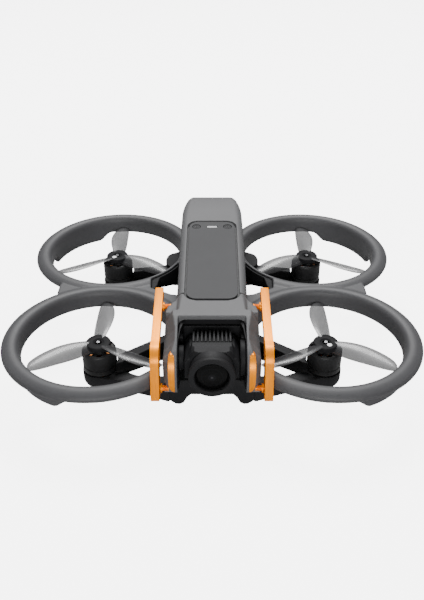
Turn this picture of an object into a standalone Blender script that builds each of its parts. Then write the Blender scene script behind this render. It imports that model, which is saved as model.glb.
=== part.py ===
"""Ducted camera drone, about 213 x 185 x 62 mm, as separate parts in one frame.

The nose points along -Y, +Z is up and the belly rests on Z = 0. "left" and "right" are the drone's
own sides, so left is +X. Every size below is in millimetres, and to_metres scales each mesh once.
"""
import math

import bmesh
import bpy
from mathutils import Matrix, Vector

MM = 0.001
GAP = 0.3
SIDES = {"left": 1, "right": -1}
CORNERS = {
    "front_left": (1, -1),
    "front_right": (-1, -1),
    "rear_left": (1, 1),
    "rear_right": (-1, 1),
}

# Rotor layout
ROTOR_X = 58.4
ROTOR_Y = 44.5
CREST = 34.7
WEB_LOW, WEB_TOP = 29.4, 33.13
THIN_LIP = 1.25
THROAT_R = 39.5
LIP_R = 48.2
SKIRT_BOTTOM = 20.0
RING_BOTTOM = 25.0
RING_STEPS = 40
SKIRT_FROM, SKIRT_TO = 112.0, 170.0

# Motors and propellers
BELL_R = 8.9
BELL_LOW, BELL_TOP = 13.2, 25.4
CUP_R = 9.3
CUP_LOW, CUP_TOP = 4.0, 12.8
HUB_R = 6.5
HUB_NECK_R = 3.6
HUB_LOW, HUB_TOP = 26.6, 29.4
PROP_R = 38.0
BLADE_START = math.radians(90)

# Arms: height of the strut's top near the body and past the motor
FRONT_ARM_TOP = (22.9, 16.9)
REAR_ARM_TOP = (21.8, 17.1)

# Body
FRAME_HALF_W = 18.2
FRAME_TOP = 46.0
SHELL_REAR = 58.0
SEAM_Y = -38.8
TOP_AT_SEAM = 55.5
TOP_SLOPE = math.atan2(5.4, 74.0)
NOSE_Y = -57.0
BAY_REAR = 58.0
BAY_FRONT = -8.0
DECK_Z = 26.0

# Top plate
PLATE_FRONT, PLATE_REAR = -43.5, 28.6
PLATE_HALF_W = 12.8
PLATE_CORNER_R = 5.0
PLATE_GROOVE = 1.2
PLATE_THICK = 1.2
RECESS_DEPTH = 1.8
MARK_Y = 23.5
BUTTONS = {"power_button": -8.8, "link_button": 8.8}
BUTTON_R = 2.1

# Camera
TILT_Y, TILT_Z = -68.0, 37.6
CAM_HALF_W = 13.0
CAM_FRONT, CAM_REAR = -76.0, -57.8
CAM_LOW, CAM_TOP = 30.0, 47.0
LENS_R = 11.1
GLASS_R = 7.9

# Cheeks and bumpers
CHEEK_IN, CHEEK_OUT = 16.3, 23.2
CHEEK_FACE = [(-77.0, 20.0), (-79.9, 25.4), (-81.9, 28.6), (-82.4, 33.0), (-82.2, 39.0),
              (-80.2, 43.6), (-76.2, 47.0), (-70.2, 49.6)]
INSERT_DEPTH = 2.6
BAR_IN, BAR_OUT = 24.5, 28.5
POSTS = {"upper": (-44.4, 50.8), "lower": (-79.6, 28.4)}

# Battery
BATT_HALF_W = 13.4
BATT_LOW, BATT_HIGH = 27.2, 54.6
TAIL_FRONT = 59.8
TAIL_REAR = 82.0

# Belly
VISION_Y = (-26.0, 36.0)


def top_z(y):
    """Height of the sloping top surface at a station along the body."""
    return TOP_AT_SEAM + (y - SEAM_Y) * math.tan(TOP_SLOPE)


# ---------------------------------------------------------------- scene helpers
def clear_scene():
    for obj in list(bpy.data.objects):
        bpy.data.objects.remove(obj, do_unlink=True)


def new_collection(name):
    collection = bpy.data.collections.new(name)
    bpy.context.scene.collection.children.link(collection)
    return collection


def material(name, colour, roughness, metallic=0.0):
    made = bpy.data.materials.new(name)
    made.use_nodes = True
    shader = made.node_tree.nodes["Principled BSDF"]
    shader.inputs["Base Color"].default_value = (*colour, 1.0)
    shader.inputs["Roughness"].default_value = roughness
    shader.inputs["Metallic"].default_value = metallic
    return made


def to_metres(mesh):
    mesh.transform(Matrix.Scale(MM, 4))


def add_object(name, mesh, look=None, location=(0, 0, 0)):
    """Put a mesh in the parts collection under its node name, or keep it aside when it has no look."""
    obj = bpy.data.objects.new(name, mesh)
    obj.location = Vector(location) * MM
    if look is None:
        CUTTERS.objects.link(obj)
        obj.hide_render = True
        obj.display_type = "WIRE"
    else:
        PARTS.objects.link(obj)
        mesh.materials.clear()
        mesh.materials.append(look)
    return obj


def evaluated_mesh(obj):
    """The mesh that an object's modifiers give."""
    bpy.context.view_layer.update()
    graph = bpy.context.evaluated_depsgraph_get()
    return bpy.data.meshes.new_from_object(obj.evaluated_get(graph), depsgraph=graph)


def smooth(mesh, angle=35.0):
    mesh.shade_smooth()
    mesh.set_sharp_from_angle(angle=math.radians(angle))


def mesh_of(bm, name):
    """Close a bmesh built in millimetres into a mesh in metres."""
    bmesh.ops.remove_doubles(bm, verts=bm.verts, dist=0.001)
    bmesh.ops.recalc_face_normals(bm, faces=bm.faces)
    mesh = bpy.data.meshes.new(name)
    bm.to_mesh(mesh)
    bm.free()
    to_metres(mesh)
    return mesh


# ---------------------------------------------------------------- shape helpers
def box(name, low, high, look=None):
    bm = bmesh.new()
    bmesh.ops.create_cube(bm, size=1.0)
    centre = [(a + b) / 2 for a, b in zip(low, high)]
    size = [b - a for a, b in zip(low, high)]
    bmesh.ops.scale(bm, vec=size, verts=bm.verts)
    bmesh.ops.translate(bm, vec=centre, verts=bm.verts)
    return add_object(name, mesh_of(bm, name), look)


AXIS_TURN = {
    "Z": Matrix.Identity(4),
    "X": Matrix.Rotation(math.pi / 2, 4, "Y"),
}


def cylinder(name, radius, start, end, centre, axis="Z", look=None, steps=24):
    """Round bar between two stations of its axis; centre gives its place across the axis."""
    bm = bmesh.new()
    bmesh.ops.create_cone(
        bm, cap_ends=True, segments=steps, radius1=radius, radius2=radius, depth=end - start
    )
    bmesh.ops.translate(bm, vec=(0, 0, (start + end) / 2), verts=bm.verts)
    bmesh.ops.transform(bm, matrix=AXIS_TURN[axis], verts=bm.verts)
    bmesh.ops.translate(bm, vec=centre, verts=bm.verts)
    mesh = mesh_of(bm, name)
    smooth(mesh)
    return add_object(name, mesh, look)


def turned(name, profile, centre=(0, 0, 0), axis="Z", look=None, steps=24, closed=False):
    """Turn a profile of (radius, height) points, listed down its outer side, about an axis."""
    mesh = bpy.data.meshes.new(name)
    edges = [(i, i + 1) for i in range(len(profile) - 1)]
    if closed:
        edges.append((len(profile) - 1, 0))
    mesh.from_pydata([(r, 0, z) for r, z in profile], edges, [])
    to_metres(mesh)
    obj = add_object(name, mesh)
    screw = obj.modifiers.new("Turn", "SCREW")
    screw.axis = "Z"
    screw.steps = steps
    screw.render_steps = steps
    screw.use_merge_vertices = True
    screw.merge_threshold = 0.00001
    solid = evaluated_mesh(obj)
    bpy.data.objects.remove(obj)
    solid.transform(Matrix.Translation(Vector(centre) * MM) @ AXIS_TURN[axis])
    smooth(solid)
    return add_object(name, solid, look)


def outline_solid(name, outlines, low, high, axis, look=None):
    """Thicken a flat outline along an axis; outlines after the first are holes.

    Points are (x, y) for axis Z, (y, z) for axis X and (x, z) for axis Y.
    """
    curve = bpy.data.curves.new(name, "CURVE")
    curve.dimensions = "2D"
    curve.fill_mode = "BOTH"
    curve.extrude = (high - low) / 2
    for points in outlines:
        spline = curve.splines.new("POLY")
        spline.points.add(len(points) - 1)
        for slot, (a, b) in zip(spline.points, points):
            slot.co = (a, b, 0, 1)
        spline.use_cyclic_u = True
    drawn = add_object(name, curve)
    mesh = evaluated_mesh(drawn)
    bpy.data.objects.remove(drawn)
    bm = bmesh.new()
    bm.from_mesh(mesh)
    bpy.data.meshes.remove(mesh)
    stand = {
        "Z": Matrix.Identity(4),
        "X": Matrix(((0, 0, 1, 0), (1, 0, 0, 0), (0, 1, 0, 0), (0, 0, 0, 1))),
        "Y": Matrix(((1, 0, 0, 0), (0, 0, -1, 0), (0, 1, 0, 0), (0, 0, 0, 1))),
    }[axis]
    middle = (low + high) / 2
    shift = {"Z": (0, 0, middle), "X": (middle, 0, 0), "Y": (0, middle, 0)}[axis]
    bmesh.ops.transform(bm, matrix=Matrix.Translation(shift) @ stand, verts=bm.verts)
    mesh = mesh_of(bm, name)
    smooth(mesh)
    return add_object(name, mesh, look)


def loft(name, sections, look=None):
    """Closed skin through equal-length loops of points, capped at both ends."""
    bm = bmesh.new()
    rows = [[bm.verts.new(point) for point in section] for section in sections]
    count = len(rows[0])
    for near, far in zip(rows, rows[1:]):
        for i in range(count):
            j = (i + 1) % count
            bm.faces.new((near[i], near[j], far[j], far[i]))
    bm.faces.new(rows[0])
    bm.faces.new(rows[-1])
    bmesh.ops.triangulate(bm, faces=bm.faces)
    mesh = mesh_of(bm, name)
    smooth(mesh)
    return add_object(name, mesh, look)


def combine(target, tool, operation):
    if tool.name in PARTS.objects:
        PARTS.objects.unlink(tool)
        CUTTERS.objects.link(tool)
        tool.hide_render = True
        tool.display_type = "WIRE"
    modifier = target.modifiers.new(tool.name, "BOOLEAN")
    modifier.operation = operation
    modifier.solver = "EXACT"
    modifier.object = tool
    return target


def cut(target, *tools):
    for tool in tools:
        combine(target, tool, "DIFFERENCE")
    return target


def join(target, *tools):
    for tool in tools:
        combine(target, tool, "UNION")
    return target


def keep(target, tool):
    return combine(target, tool, "INTERSECT")


def arc(centre, radius, start, end, steps):
    """Points on an arc, in degrees, both ends included."""
    points = []
    for i in range(steps + 1):
        a = math.radians(start + (end - start) * i / steps)
        points.append((centre[0] + radius * math.cos(a), centre[1] + radius * math.sin(a)))
    return points


def rounded_rectangle(low, high, radius, steps=4):
    corners = [
        ((high[0] - radius, high[1] - radius), 0),
        ((low[0] + radius, high[1] - radius), 90),
        ((low[0] + radius, low[1] + radius), 180),
        ((high[0] - radius, low[1] + radius), 270),
    ]
    points = []
    for centre, start in corners:
        points += arc(centre, radius, start, start + 90, steps)
    return points


def mirror_x(points, side):
    """Outline points with x measured outward, turned to the side's own x."""
    return [(x * side, y) for x, y in points]


# ---------------------------------------------------------------- guards
def guard_ring(name, centre, outward, look=None):
    """Bell-mouth ring whose throat wall reaches down in a skirt on its outer diagonal.

    outward is the sign pair that points from the body to the ring's free corner.
    """
    profile = [
        (THROAT_R, RING_BOTTOM),
        (THROAT_R, CREST - 2.9),
        (40.2, CREST - 1.3),
        (41.6, CREST - 0.3),
        (43.4, CREST),
        (45.6, CREST - 0.6),
        (47.4, CREST - 1.8),
        (LIP_R, CREST - 3.3),
        (46.4, CREST - 5.5),
        (42.6, CREST - 7.8),
        (41.7, RING_BOTTOM),
    ]
    ring = turned(name, profile[::-1], look=look, steps=RING_STEPS, closed=True)
    skirt_low = SKIRT_BOTTOM * MM
    edge = (RING_BOTTOM + 0.1) * MM
    for vertex in ring.data.vertices:
        x = -vertex.co.x * outward[0]
        y = vertex.co.y * outward[1]
        angle = math.degrees(math.atan2(y, x))
        if vertex.co.z < edge and SKIRT_FROM < angle < SKIRT_TO:
            vertex.co.z = skirt_low
    ring.data.transform(Matrix.Translation(Vector((*centre, 0)) * MM))
    return ring


def make_guard(side_name):
    """Two rings, the web between them and the flange that reaches the body, as one moulding."""
    s = SIDES[side_name]
    front = (s * ROTOR_X, -ROTOR_Y)
    rear = (s * ROTOR_X, ROTOR_Y)
    guard = guard_ring("guard_" + side_name, front, (s, -1), LOOKS["guard_grey"])
    rear_ring = guard_ring("rear_ring_" + side_name, rear, (s, 1))

    web = [(86.3, -4.5), (86.3, 4.5), (80.0, 16.0), (36.0, 14.0), (34.3, 9.0), (34.3, 1.0),
           (27.0, -3.0), (22.4, -5.8), (19.0, -6.2), (19.0, -24.0), (36.0, -14.0),
           (80.0, -16.0)]
    web_plate = outline_solid(
        "web_" + side_name, [mirror_x(web, s)], WEB_LOW, WEB_TOP, "Z"
    )
    for label, centre in (("front", front), ("rear", rear)):
        hole = cylinder(
            f"web_hole_{label}_{side_name}", 43.2, 0, 60, (*centre, 0), steps=RING_STEPS
        )
        cut(web_plate, hole)
    join(guard, rear_ring, web_plate)

    lip_gap = arc((ROTOR_X, ROTOR_Y), LIP_R + 1.0, 234.5, 200.0, 8)
    lip_gap += arc((ROTOR_X, ROTOR_Y), 38.0, 200.0, 234.5, 8)
    body_side = box(
        "guard_trim_body_" + side_name,
        (min(0, s * (FRAME_HALF_W + GAP)), -60, 0),
        (max(0, s * (FRAME_HALF_W + GAP)), 90, 60),
    )
    cheek_side = box(
        "guard_trim_cheek_" + side_name,
        (min(0, s * (BAR_OUT + GAP)), -100, 0),
        (max(0, s * (BAR_OUT + GAP)), -42, 60),
    )
    under_lip = outline_solid(
        "guard_trim_lip_" + side_name, [mirror_x(lip_gap, s)], 0, CREST - THIN_LIP, "Z"
    )
    beside_lip = outline_solid(
        "guard_trim_gap_" + side_name, [gap_outline(s)], 0, 60, "Z"
    )
    cut(guard, under_lip, beside_lip, body_side, cheek_side)
    return guard


def gap_outline(s):
    """Opening between the rear ring's thin inner lip, the body and the web."""
    lip = arc((ROTOR_X, ROTOR_Y), 42.6, 236.0, 205.0, 6)
    return mirror_x(lip + [(15.0, 26.0), (15.0, -2.0), (27.0, -2.6), (34.4, 1.4)], s)


def make_bracket(side_name):
    """Curved wall under the thin lip, with a foot along the web's edge, tying both to the frame."""
    s = SIDES[side_name]
    outer = arc((ROTOR_X, ROTOR_Y), 43.6, 229.0, 207.5, 6)
    inner = arc((ROTOR_X, ROTOR_Y), 40.2, 203.5, 232.5, 6)
    foot = [(33.4, 11.2), (33.5, 9.3), (34.1, 8.2), (34.1, 2.6), (32.6, 2.2), (31.2, 5.0)]
    wall = outline_solid(
        "guard_bracket_" + side_name,
        [mirror_x(inner + foot + outer, s)],
        19.0,
        CREST - THIN_LIP - GAP,
        "Z",
        LOOKS["frame_black"],
    )
    below = [(-4.0, 0.0), (-4.0, 30.3), (5.0, 29.0), (13.7, 25.5), (19.0, 23.4), (24.0, 21.8),
             (40.0, 20.4), (40.0, 0.0)]
    above = [(-4.0, 31.6), (3.0, 31.6), (9.5, 34.0), (9.5, 40.0), (-4.0, 40.0)]
    under = outline_solid("bracket_trim_" + side_name, [below], -60, 60, "X")
    over = outline_solid("bracket_trim_over_" + side_name, [above], -60, 60, "X")
    body_side = box(
        "bracket_trim_body_" + side_name,
        (min(0, s * (FRAME_HALF_W + GAP)), -60, 0),
        (max(0, s * (FRAME_HALF_W + GAP)), 90, 60),
    )
    ring_side = outline_solid(
        "bracket_trim_web_" + side_name,
        [mirror_x([(34.1, 12.3), (34.1, -10.0), (60.0, -10.0), (60.0, 12.3)], s)],
        0,
        60,
        "Z",
    )
    return cut(wall, under, over, body_side, ring_side)


# ---------------------------------------------------------------- arms and motors
def arm_cup(name, x, y):
    """Round seat under the motor, with a raised collar that the motor's base drops into."""
    profile = [
        (0, CUP_TOP - 3.6),
        (7.8, CUP_TOP - 3.6),
        (7.8, CUP_TOP),
        (CUP_R, CUP_TOP),
        (CUP_R, CUP_LOW + 3.4),
        (CUP_R - 0.9, CUP_LOW + 1.2),
        (CUP_R - 3.2, CUP_LOW),
        (0, CUP_LOW),
    ]
    return turned(name, profile, (x, y, 0), look=LOOKS["frame_black"])


def bell_clearance(name, x, y):
    clearance = cylinder("bell_room_" + name, BELL_R + 0.5, CUP_TOP - 0.6, 60, (x, y, 0))
    pocket = cylinder("cup_room_" + name, 7.8, CUP_TOP - 3.6, CUP_TOP, (x, y, 0))
    return clearance, pocket


def arm_slope(name, s, tops):
    """Cutter over a strut whose top falls from the body to the motor."""
    inner, outer = tops
    outline = [(17.0, inner), (60.0, outer), (60.0, 60.0), (17.0, 60.0)]
    return outline_solid(name, [mirror_x(outline, s)], -90, 90, "Y")


def make_front_arm(side_name):
    """Two struts in a V: a tall one back to the body and a flat one forward to the chin."""
    s = SIDES[side_name]
    name = "arm_front_" + side_name
    arm = arm_cup(name, s * ROTOR_X, -ROTOR_Y)
    upper = [(48.2, -42.2), (52.2, -46.8), (46.0, -47.5), (19.0, -30.5), (18.5, -24.5)]
    lower = [(58.5, -53.5), (40.7, -56.6), (31.9, -58.6), (23.35, -60.6), (23.35, -51.5),
             (38.5, -51.0), (46.0, -47.0), (52.0, -44.0)]
    high = outline_solid(name + "_high", [mirror_x(upper, s)], 9.8, 26.0, "Z")
    low = outline_solid(name + "_low", [mirror_x(lower, s)], 2.0, CUP_TOP - 0.4, "Z")
    belly = [(0.0, -5.0), (0.0, 2.4), (23.6, 3.0), (32.0, 4.5), (41.0, 5.4), (60.0, 6.2),
             (60.0, -5.0)]
    cut(low, outline_solid(name + "_belly", [mirror_x(belly, s)], -90, 90, "Y"))
    post = outline_solid(
        name + "_post",
        [mirror_x([(46.2, -47.8), (46.2, -41.2), (50.0, -40.2), (50.0, -48.8)], s)],
        CUP_LOW + 2.0,
        26.0,
        "Z",
    )
    for strut in (high, post):
        cut(strut, arm_slope(f"{strut.name}_slope", s, FRONT_ARM_TOP))
    body_side = box(
        name + "_trim",
        (min(0, s * (FRAME_HALF_W + GAP)), -49, 0),
        (max(0, s * (FRAME_HALF_W + GAP)), 0, 60),
    )
    join(arm, high, low, post)
    return cut(arm, body_side, *bell_clearance(name, s * ROTOR_X, -ROTOR_Y))


def make_rear_arm(side_name):
    """Straight strut to the body with a tall rounded root beside the battery bay."""
    s = SIDES[side_name]
    name = "arm_rear_" + side_name
    arm = arm_cup(name, s * ROTOR_X, ROTOR_Y)
    high = box(
        name + "_high",
        (min(s * 18.5, s * 50.0), 42.2, 10.0),
        (max(s * 18.5, s * 50.0), 46.8, 26.0),
    )
    cut(high, arm_slope(name + "_slope", s, REAR_ARM_TOP))
    low = outline_solid(
        name + "_low",
        [mirror_x([(55.0, 38.0), (55.0, 52.0), (38.0, 49.0), (18.5, 52.0), (18.5, 37.0),
                   (38.0, 40.0)], s)],
        7.4,
        CUP_TOP - 0.4,
        "Z",
    )
    underside = [(10.0, 0.0), (10.0, 11.8), (27.0, 11.0), (38.0, 7.4), (38.0, 0.0)]
    cut(low, outline_solid(name + "_underside", [mirror_x(underside, s)], 30, 60, "Y"))
    root = outline_solid(
        name + "_root",
        [mirror_x([(18.5, 37.5), (26.0, 38.2), (28.3, 41.0), (28.3, 51.0), (26.0, 54.2),
                   (18.5, 56.0)], s)],
        12.0,
        24.6,
        "Z",
    )
    join(arm, high, low, root)
    return cut(arm, *bell_clearance(name, s * ROTOR_X, ROTOR_Y))


def motor_meshes():
    """Stator with its bearing tube, and bell with its shaft, both turned about the motor axis."""
    stator = turned(
        "stator_shape",
        [(1.5, 22.8), (2.4, 22.8), (2.4, 21.8), (6.6, 21.2), (6.6, 15.0), (3.0, 14.4),
         (3.0, 13.4), (7.4, 13.4), (7.4, CUP_TOP - 3.3), (1.5, CUP_TOP - 3.3)],
        closed=True,
        look=LOOKS["stator_copper"],
        steps=12,
    )
    bell = turned(
        "bell_shape",
        [(0, BELL_TOP), (BELL_R - 1.2, BELL_TOP), (BELL_R, BELL_TOP - 1.2), (BELL_R, BELL_LOW),
         (7.9, BELL_LOW), (7.9, BELL_LOW + 0.8), (7.2, BELL_LOW + 0.8), (7.2, BELL_TOP - 2.2),
         (1.1, BELL_TOP - 2.2), (1.1, CUP_TOP - 2.6), (0, CUP_TOP - 2.6)],
        look=LOOKS["motor_black"],
        steps=20,
    )
    return stator, bell


def blade_section(radius, chord, pitch, height, hand):
    """Six-point cambered section across a blade that lies along +X."""
    thick = 0.11 * chord + 0.25
    shape = [(-0.5, 0.0), (-0.22, thick), (0.2, thick * 0.85), (0.5, 0.1), (0.2, -0.1),
             (-0.22, -0.15)]
    section = []
    for along, up in shape:
        across = along * chord * hand
        tilt = math.radians(pitch)
        y = across * math.cos(tilt) + up * math.sin(tilt) * hand
        z = height - along * chord * math.sin(tilt) + up * math.cos(tilt)
        section.append((radius, y, z))
    return section


def propeller_mesh(label, hand):
    """Three twisted blades on a flat hub that a narrower neck holds above the bell."""
    stations = [(3.0, 6.0, 24), (9.0, 8.6, 24), (17.0, 10.6, 20), (26.0, 10.0, 15),
                (33.5, 8.2, 11), (PROP_R, 4.0, 8)]
    middle = (HUB_LOW + HUB_TOP) / 2
    sections = [blade_section(r, chord, pitch, middle, hand) for r, chord, pitch in stations]
    hub = turned(
        "propeller_shape_" + label,
        [(0, HUB_TOP), (HUB_R - 0.8, HUB_TOP), (HUB_R, HUB_TOP - 0.8), (HUB_R, HUB_LOW),
         (HUB_NECK_R, HUB_LOW), (HUB_NECK_R, BELL_TOP + GAP), (0, BELL_TOP + GAP)],
        look=LOOKS["prop_smoke"],
    )
    for index in range(3):
        blade = loft(f"blade_{label}_{index}", sections)
        blade.data.transform(Matrix.Rotation(index * 2 * math.pi / 3 + BLADE_START, 4, "Z"))
        join(hub, blade)
    return hub


def make_rotors():
    stator, bell = motor_meshes()
    props = {hand: propeller_mesh(label, hand) for label, hand in (("cw", 1), ("ccw", -1))}
    shapes = {
        "motor_stator_": {1: stator, -1: stator},
        "motor_bell_": {1: bell, -1: bell},
        "propeller_": props,
    }
    for prefix, by_hand in shapes.items():
        baked = {hand: evaluated_mesh(obj) for hand, obj in by_hand.items()}
        for corner, (sx, sy) in CORNERS.items():
            hand = sx * sy
            look = by_hand[hand].data.materials[0]
            add_object(prefix + corner, baked[hand], look, (sx * ROTOR_X, sy * ROTOR_Y, 0))
    tools = [stator, bell, *props.values()]
    for obj in tools:
        bpy.data.objects.remove(obj)


# ---------------------------------------------------------------- body
def make_lower_frame():
    """Black tub: side rails, battery deck, board bay below it and the chin under the camera."""
    side = [(-46.0, 6.0), (-46.0, FRAME_TOP), (BAY_REAR, FRAME_TOP), (BAY_REAR + 1.5, 30.0),
            (BAY_REAR, 10.0), (52.0, 3.3), (-40.0, 3.3)]
    frame = outline_solid(
        "lower_frame", [side], -FRAME_HALF_W, FRAME_HALF_W, "X", LOOKS["frame_black"]
    )
    half_chin = [(23.0, 17.2), (23.0, 4.6), (20.6, 1.8), (18.6, 0.2), (16.6, 0.0), (14.6, 1.2),
                 (12.8, 5.0), (10.8, 7.4)]
    chin_outline = half_chin + [(-x, z) for x, z in reversed(half_chin)]
    chin = outline_solid("chin", [chin_outline], -61.0, -43.0, "Y")
    chin_front = outline_solid(
        "chin_front", [[(-70.0, 30.0), (-61.6, 30.0), (-61.0, 14.0), (-59.4, 0.0), (-70.0, -5.0)]],
        -30, 30, "X",
    )
    chin_back = outline_solid(
        "chin_back", [[(-40.0, -5.0), (-40.0, 3.3), (-45.0, 3.3), (-51.0, -5.0)]], -30, 30, "X"
    )
    cut(chin, chin_front, chin_back)
    join(frame, chin)
    inner = FRAME_HALF_W - 2.6
    bay = box("battery_bay", (-inner, BAY_FRONT - 0.2, DECK_Z), (inner, 90, 70))
    front_bay = box("front_bay", (-inner, -43.6, 8.0), (inner, BAY_FRONT - 2.2, 70))
    board_bay = box("board_bay", (-inner, -43.6, -2), (inner, 54.0, DECK_Z - 2.2))
    cowl_room = box("cowl_room", (-30, -70, 17.4), (30, -45.7, 60))
    socket_hole = box("socket_hole", (-9.3, -20, 33.7), (9.3, 0, 42.3))
    return cut(frame, bay, front_bay, board_bay, cowl_room, socket_hole)


def make_belly_cover():
    """Flat cover under the board bay that the drone stands on, with openings for the sensors."""
    outline = rounded_rectangle((-15.0, -42.6), (15.0, 53.4), 4.0)
    cover = outline_solid("belly_cover", [outline], 0, 3.0, "Z", LOOKS["belly_black"])
    step = box("belly_step", (-40, -60, 3.0), (40, 70, 10))
    for y in VISION_Y:
        cut(cover, cylinder(f"vision_hole_{y}", 5.6, -1, 5, (0, y, 0)))
    cut(cover, box("range_hole", (-5.3, -7.3, -1), (5.3, 1.3, 5)))
    cut(cover, cylinder("light_hole", 3.1, -1, 5, (0, 13, 0)))
    return cut(cover, step)


def make_belly_sensors():
    for label, y in zip(("front", "rear"), VISION_Y):
        turned(
            f"vision_lens_{label}",
            [(0, 5.6), (4.0, 5.6), (4.0, 3.4), (5.2, 3.4), (5.2, 1.2), (3.6, 0.7), (0, 0.5)],
            (0, y, 0),
            look=LOOKS["lens_glass"],
            steps=20,
        )
    box("range_sensor", (-5.0, -7.0, 0.6), (5.0, 1.0, 5.0), LOOKS["sensor_black"])
    turned(
        "belly_light",
        [(0, 4.4), (2.7, 4.4), (2.7, 0.8), (0, 0.5)],
        (0, 13, 0),
        look=LOOKS["light_clear"],
        steps=16,
    )


def make_boards():
    """Speed controller below the battery deck, and the main board and its heat spreader ahead."""
    box("esc_board", (-14.6, -2.0, 14.0), (14.6, 50.0, 15.6), LOOKS["board_green"])
    box("main_board", (-14.6, -42.8, 20.0), (14.6, -12.0, 21.6), LOOKS["board_green"])
    box("heat_spreader", (-13.6, -41.6, 22.0), (13.6, -13.0, 30.0), LOOKS["plain_aluminium"])
    box("battery_socket", (-9.0, -15.0, 34.0), (9.0, -8.6, 42.0), LOOKS["sensor_black"])


SHELL_STATIONS = [
    (SEAM_Y + GAP, 0.0, 0.0),
    (36.0, 0.0, 0.0),
    (50.0, 1.0, 1.0),
    (SHELL_REAR, 2.6, 3.0),
]


def shell_section(y, narrow, drop, low, inset=0.0):
    """Cross-section of the top block: flat top, rounded shoulders and near-plumb sides.

    narrow draws the flat top in and drop lowers the shoulders, towards the rear.
    """
    top = top_z(y) - drop * 0.25
    half = [
        (14.4 - narrow, top),
        (16.4 - narrow * 0.8, top - 1.0 - drop * 0.1),
        (17.5 - narrow * 0.45, top - 3.2 - drop),
        (17.9, low),
    ]
    half = [(x - inset, z - (inset if z > low else 0)) for x, z in half]
    return [(x, y, z) for x, z in half] + [(-x, y, z) for x, z in reversed(half)]


def lay_on_top(obj):
    """Tip a piece built about Z = 0 onto the sloping top surface."""
    tilt = Matrix.Rotation(TOP_SLOPE, 4, "X")
    lift = Matrix.Translation(Vector((0, 0, top_z(0))) * MM)
    obj.data.transform(lift @ tilt)
    return obj


def top_slab(name, margin, low, high, look=None):
    """Rounded slab with the top plate's outline, grown by a margin."""
    outline = rounded_rectangle(
        (-PLATE_HALF_W - margin, PLATE_FRONT - margin),
        (PLATE_HALF_W + margin, PLATE_REAR + margin),
        PLATE_CORNER_R + margin,
    )
    return lay_on_top(outline_solid(name, [outline], low, high, "Z", look))


def make_top_shell():
    """Grey shell over the battery, recessed for the top plate, narrowing and open at the rear."""
    outer, inner = [], []
    for y, narrow, drop in SHELL_STATIONS:
        outer.append(shell_section(y, narrow, drop, FRAME_TOP + GAP))
        inner.append(shell_section(y, narrow, drop, FRAME_TOP - 5, 2.1))
    ends = ((inner[0], -6), (inner[-1], 6))
    for section, shift in ends:
        section[:] = [(x, y + shift, z) for x, y, z in section]
    shell = loft("top_shell", outer, LOOKS["shell_grey"])
    hollow = loft("shell_hollow", inner)
    recess = top_slab("plate_recess_shell", PLATE_GROOVE, -RECESS_DEPTH, 4)
    return cut(shell, hollow, recess)


def make_top_plate():
    plate = top_slab("top_plate", 0.0, -PLATE_THICK, -0.1, LOOKS["plate_grey"])
    for name, x in BUTTONS.items():
        hole = cylinder(name + "_hole", BUTTON_R + GAP, -9, 9, (x, MARK_Y, 0), steps=16)
        cut(plate, lay_on_top(hole))
    slot = box("light_slot", (-3.1, MARK_Y - 1.1, -9), (3.1, MARK_Y + 1.1, 9))
    return cut(plate, lay_on_top(slot))


def make_top_marks():
    """Two press buttons and the status light, standing in the top plate's holes."""
    for name, x in BUTTONS.items():
        profile = [(0, -0.15), (BUTTON_R - 0.2, -0.15), (BUTTON_R, -0.35), (BUTTON_R, -1.0),
                   (0, -1.0)]
        button = turned(name, profile, (x, MARK_Y, 0), look=LOOKS["plate_grey"], steps=16)
        lay_on_top(button)
    light = box(
        "status_light", (-2.8, MARK_Y - 0.8, -1.0), (2.8, MARK_Y + 0.8, -0.15), LOOKS["light_clear"]
    )
    lay_on_top(light)


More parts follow.
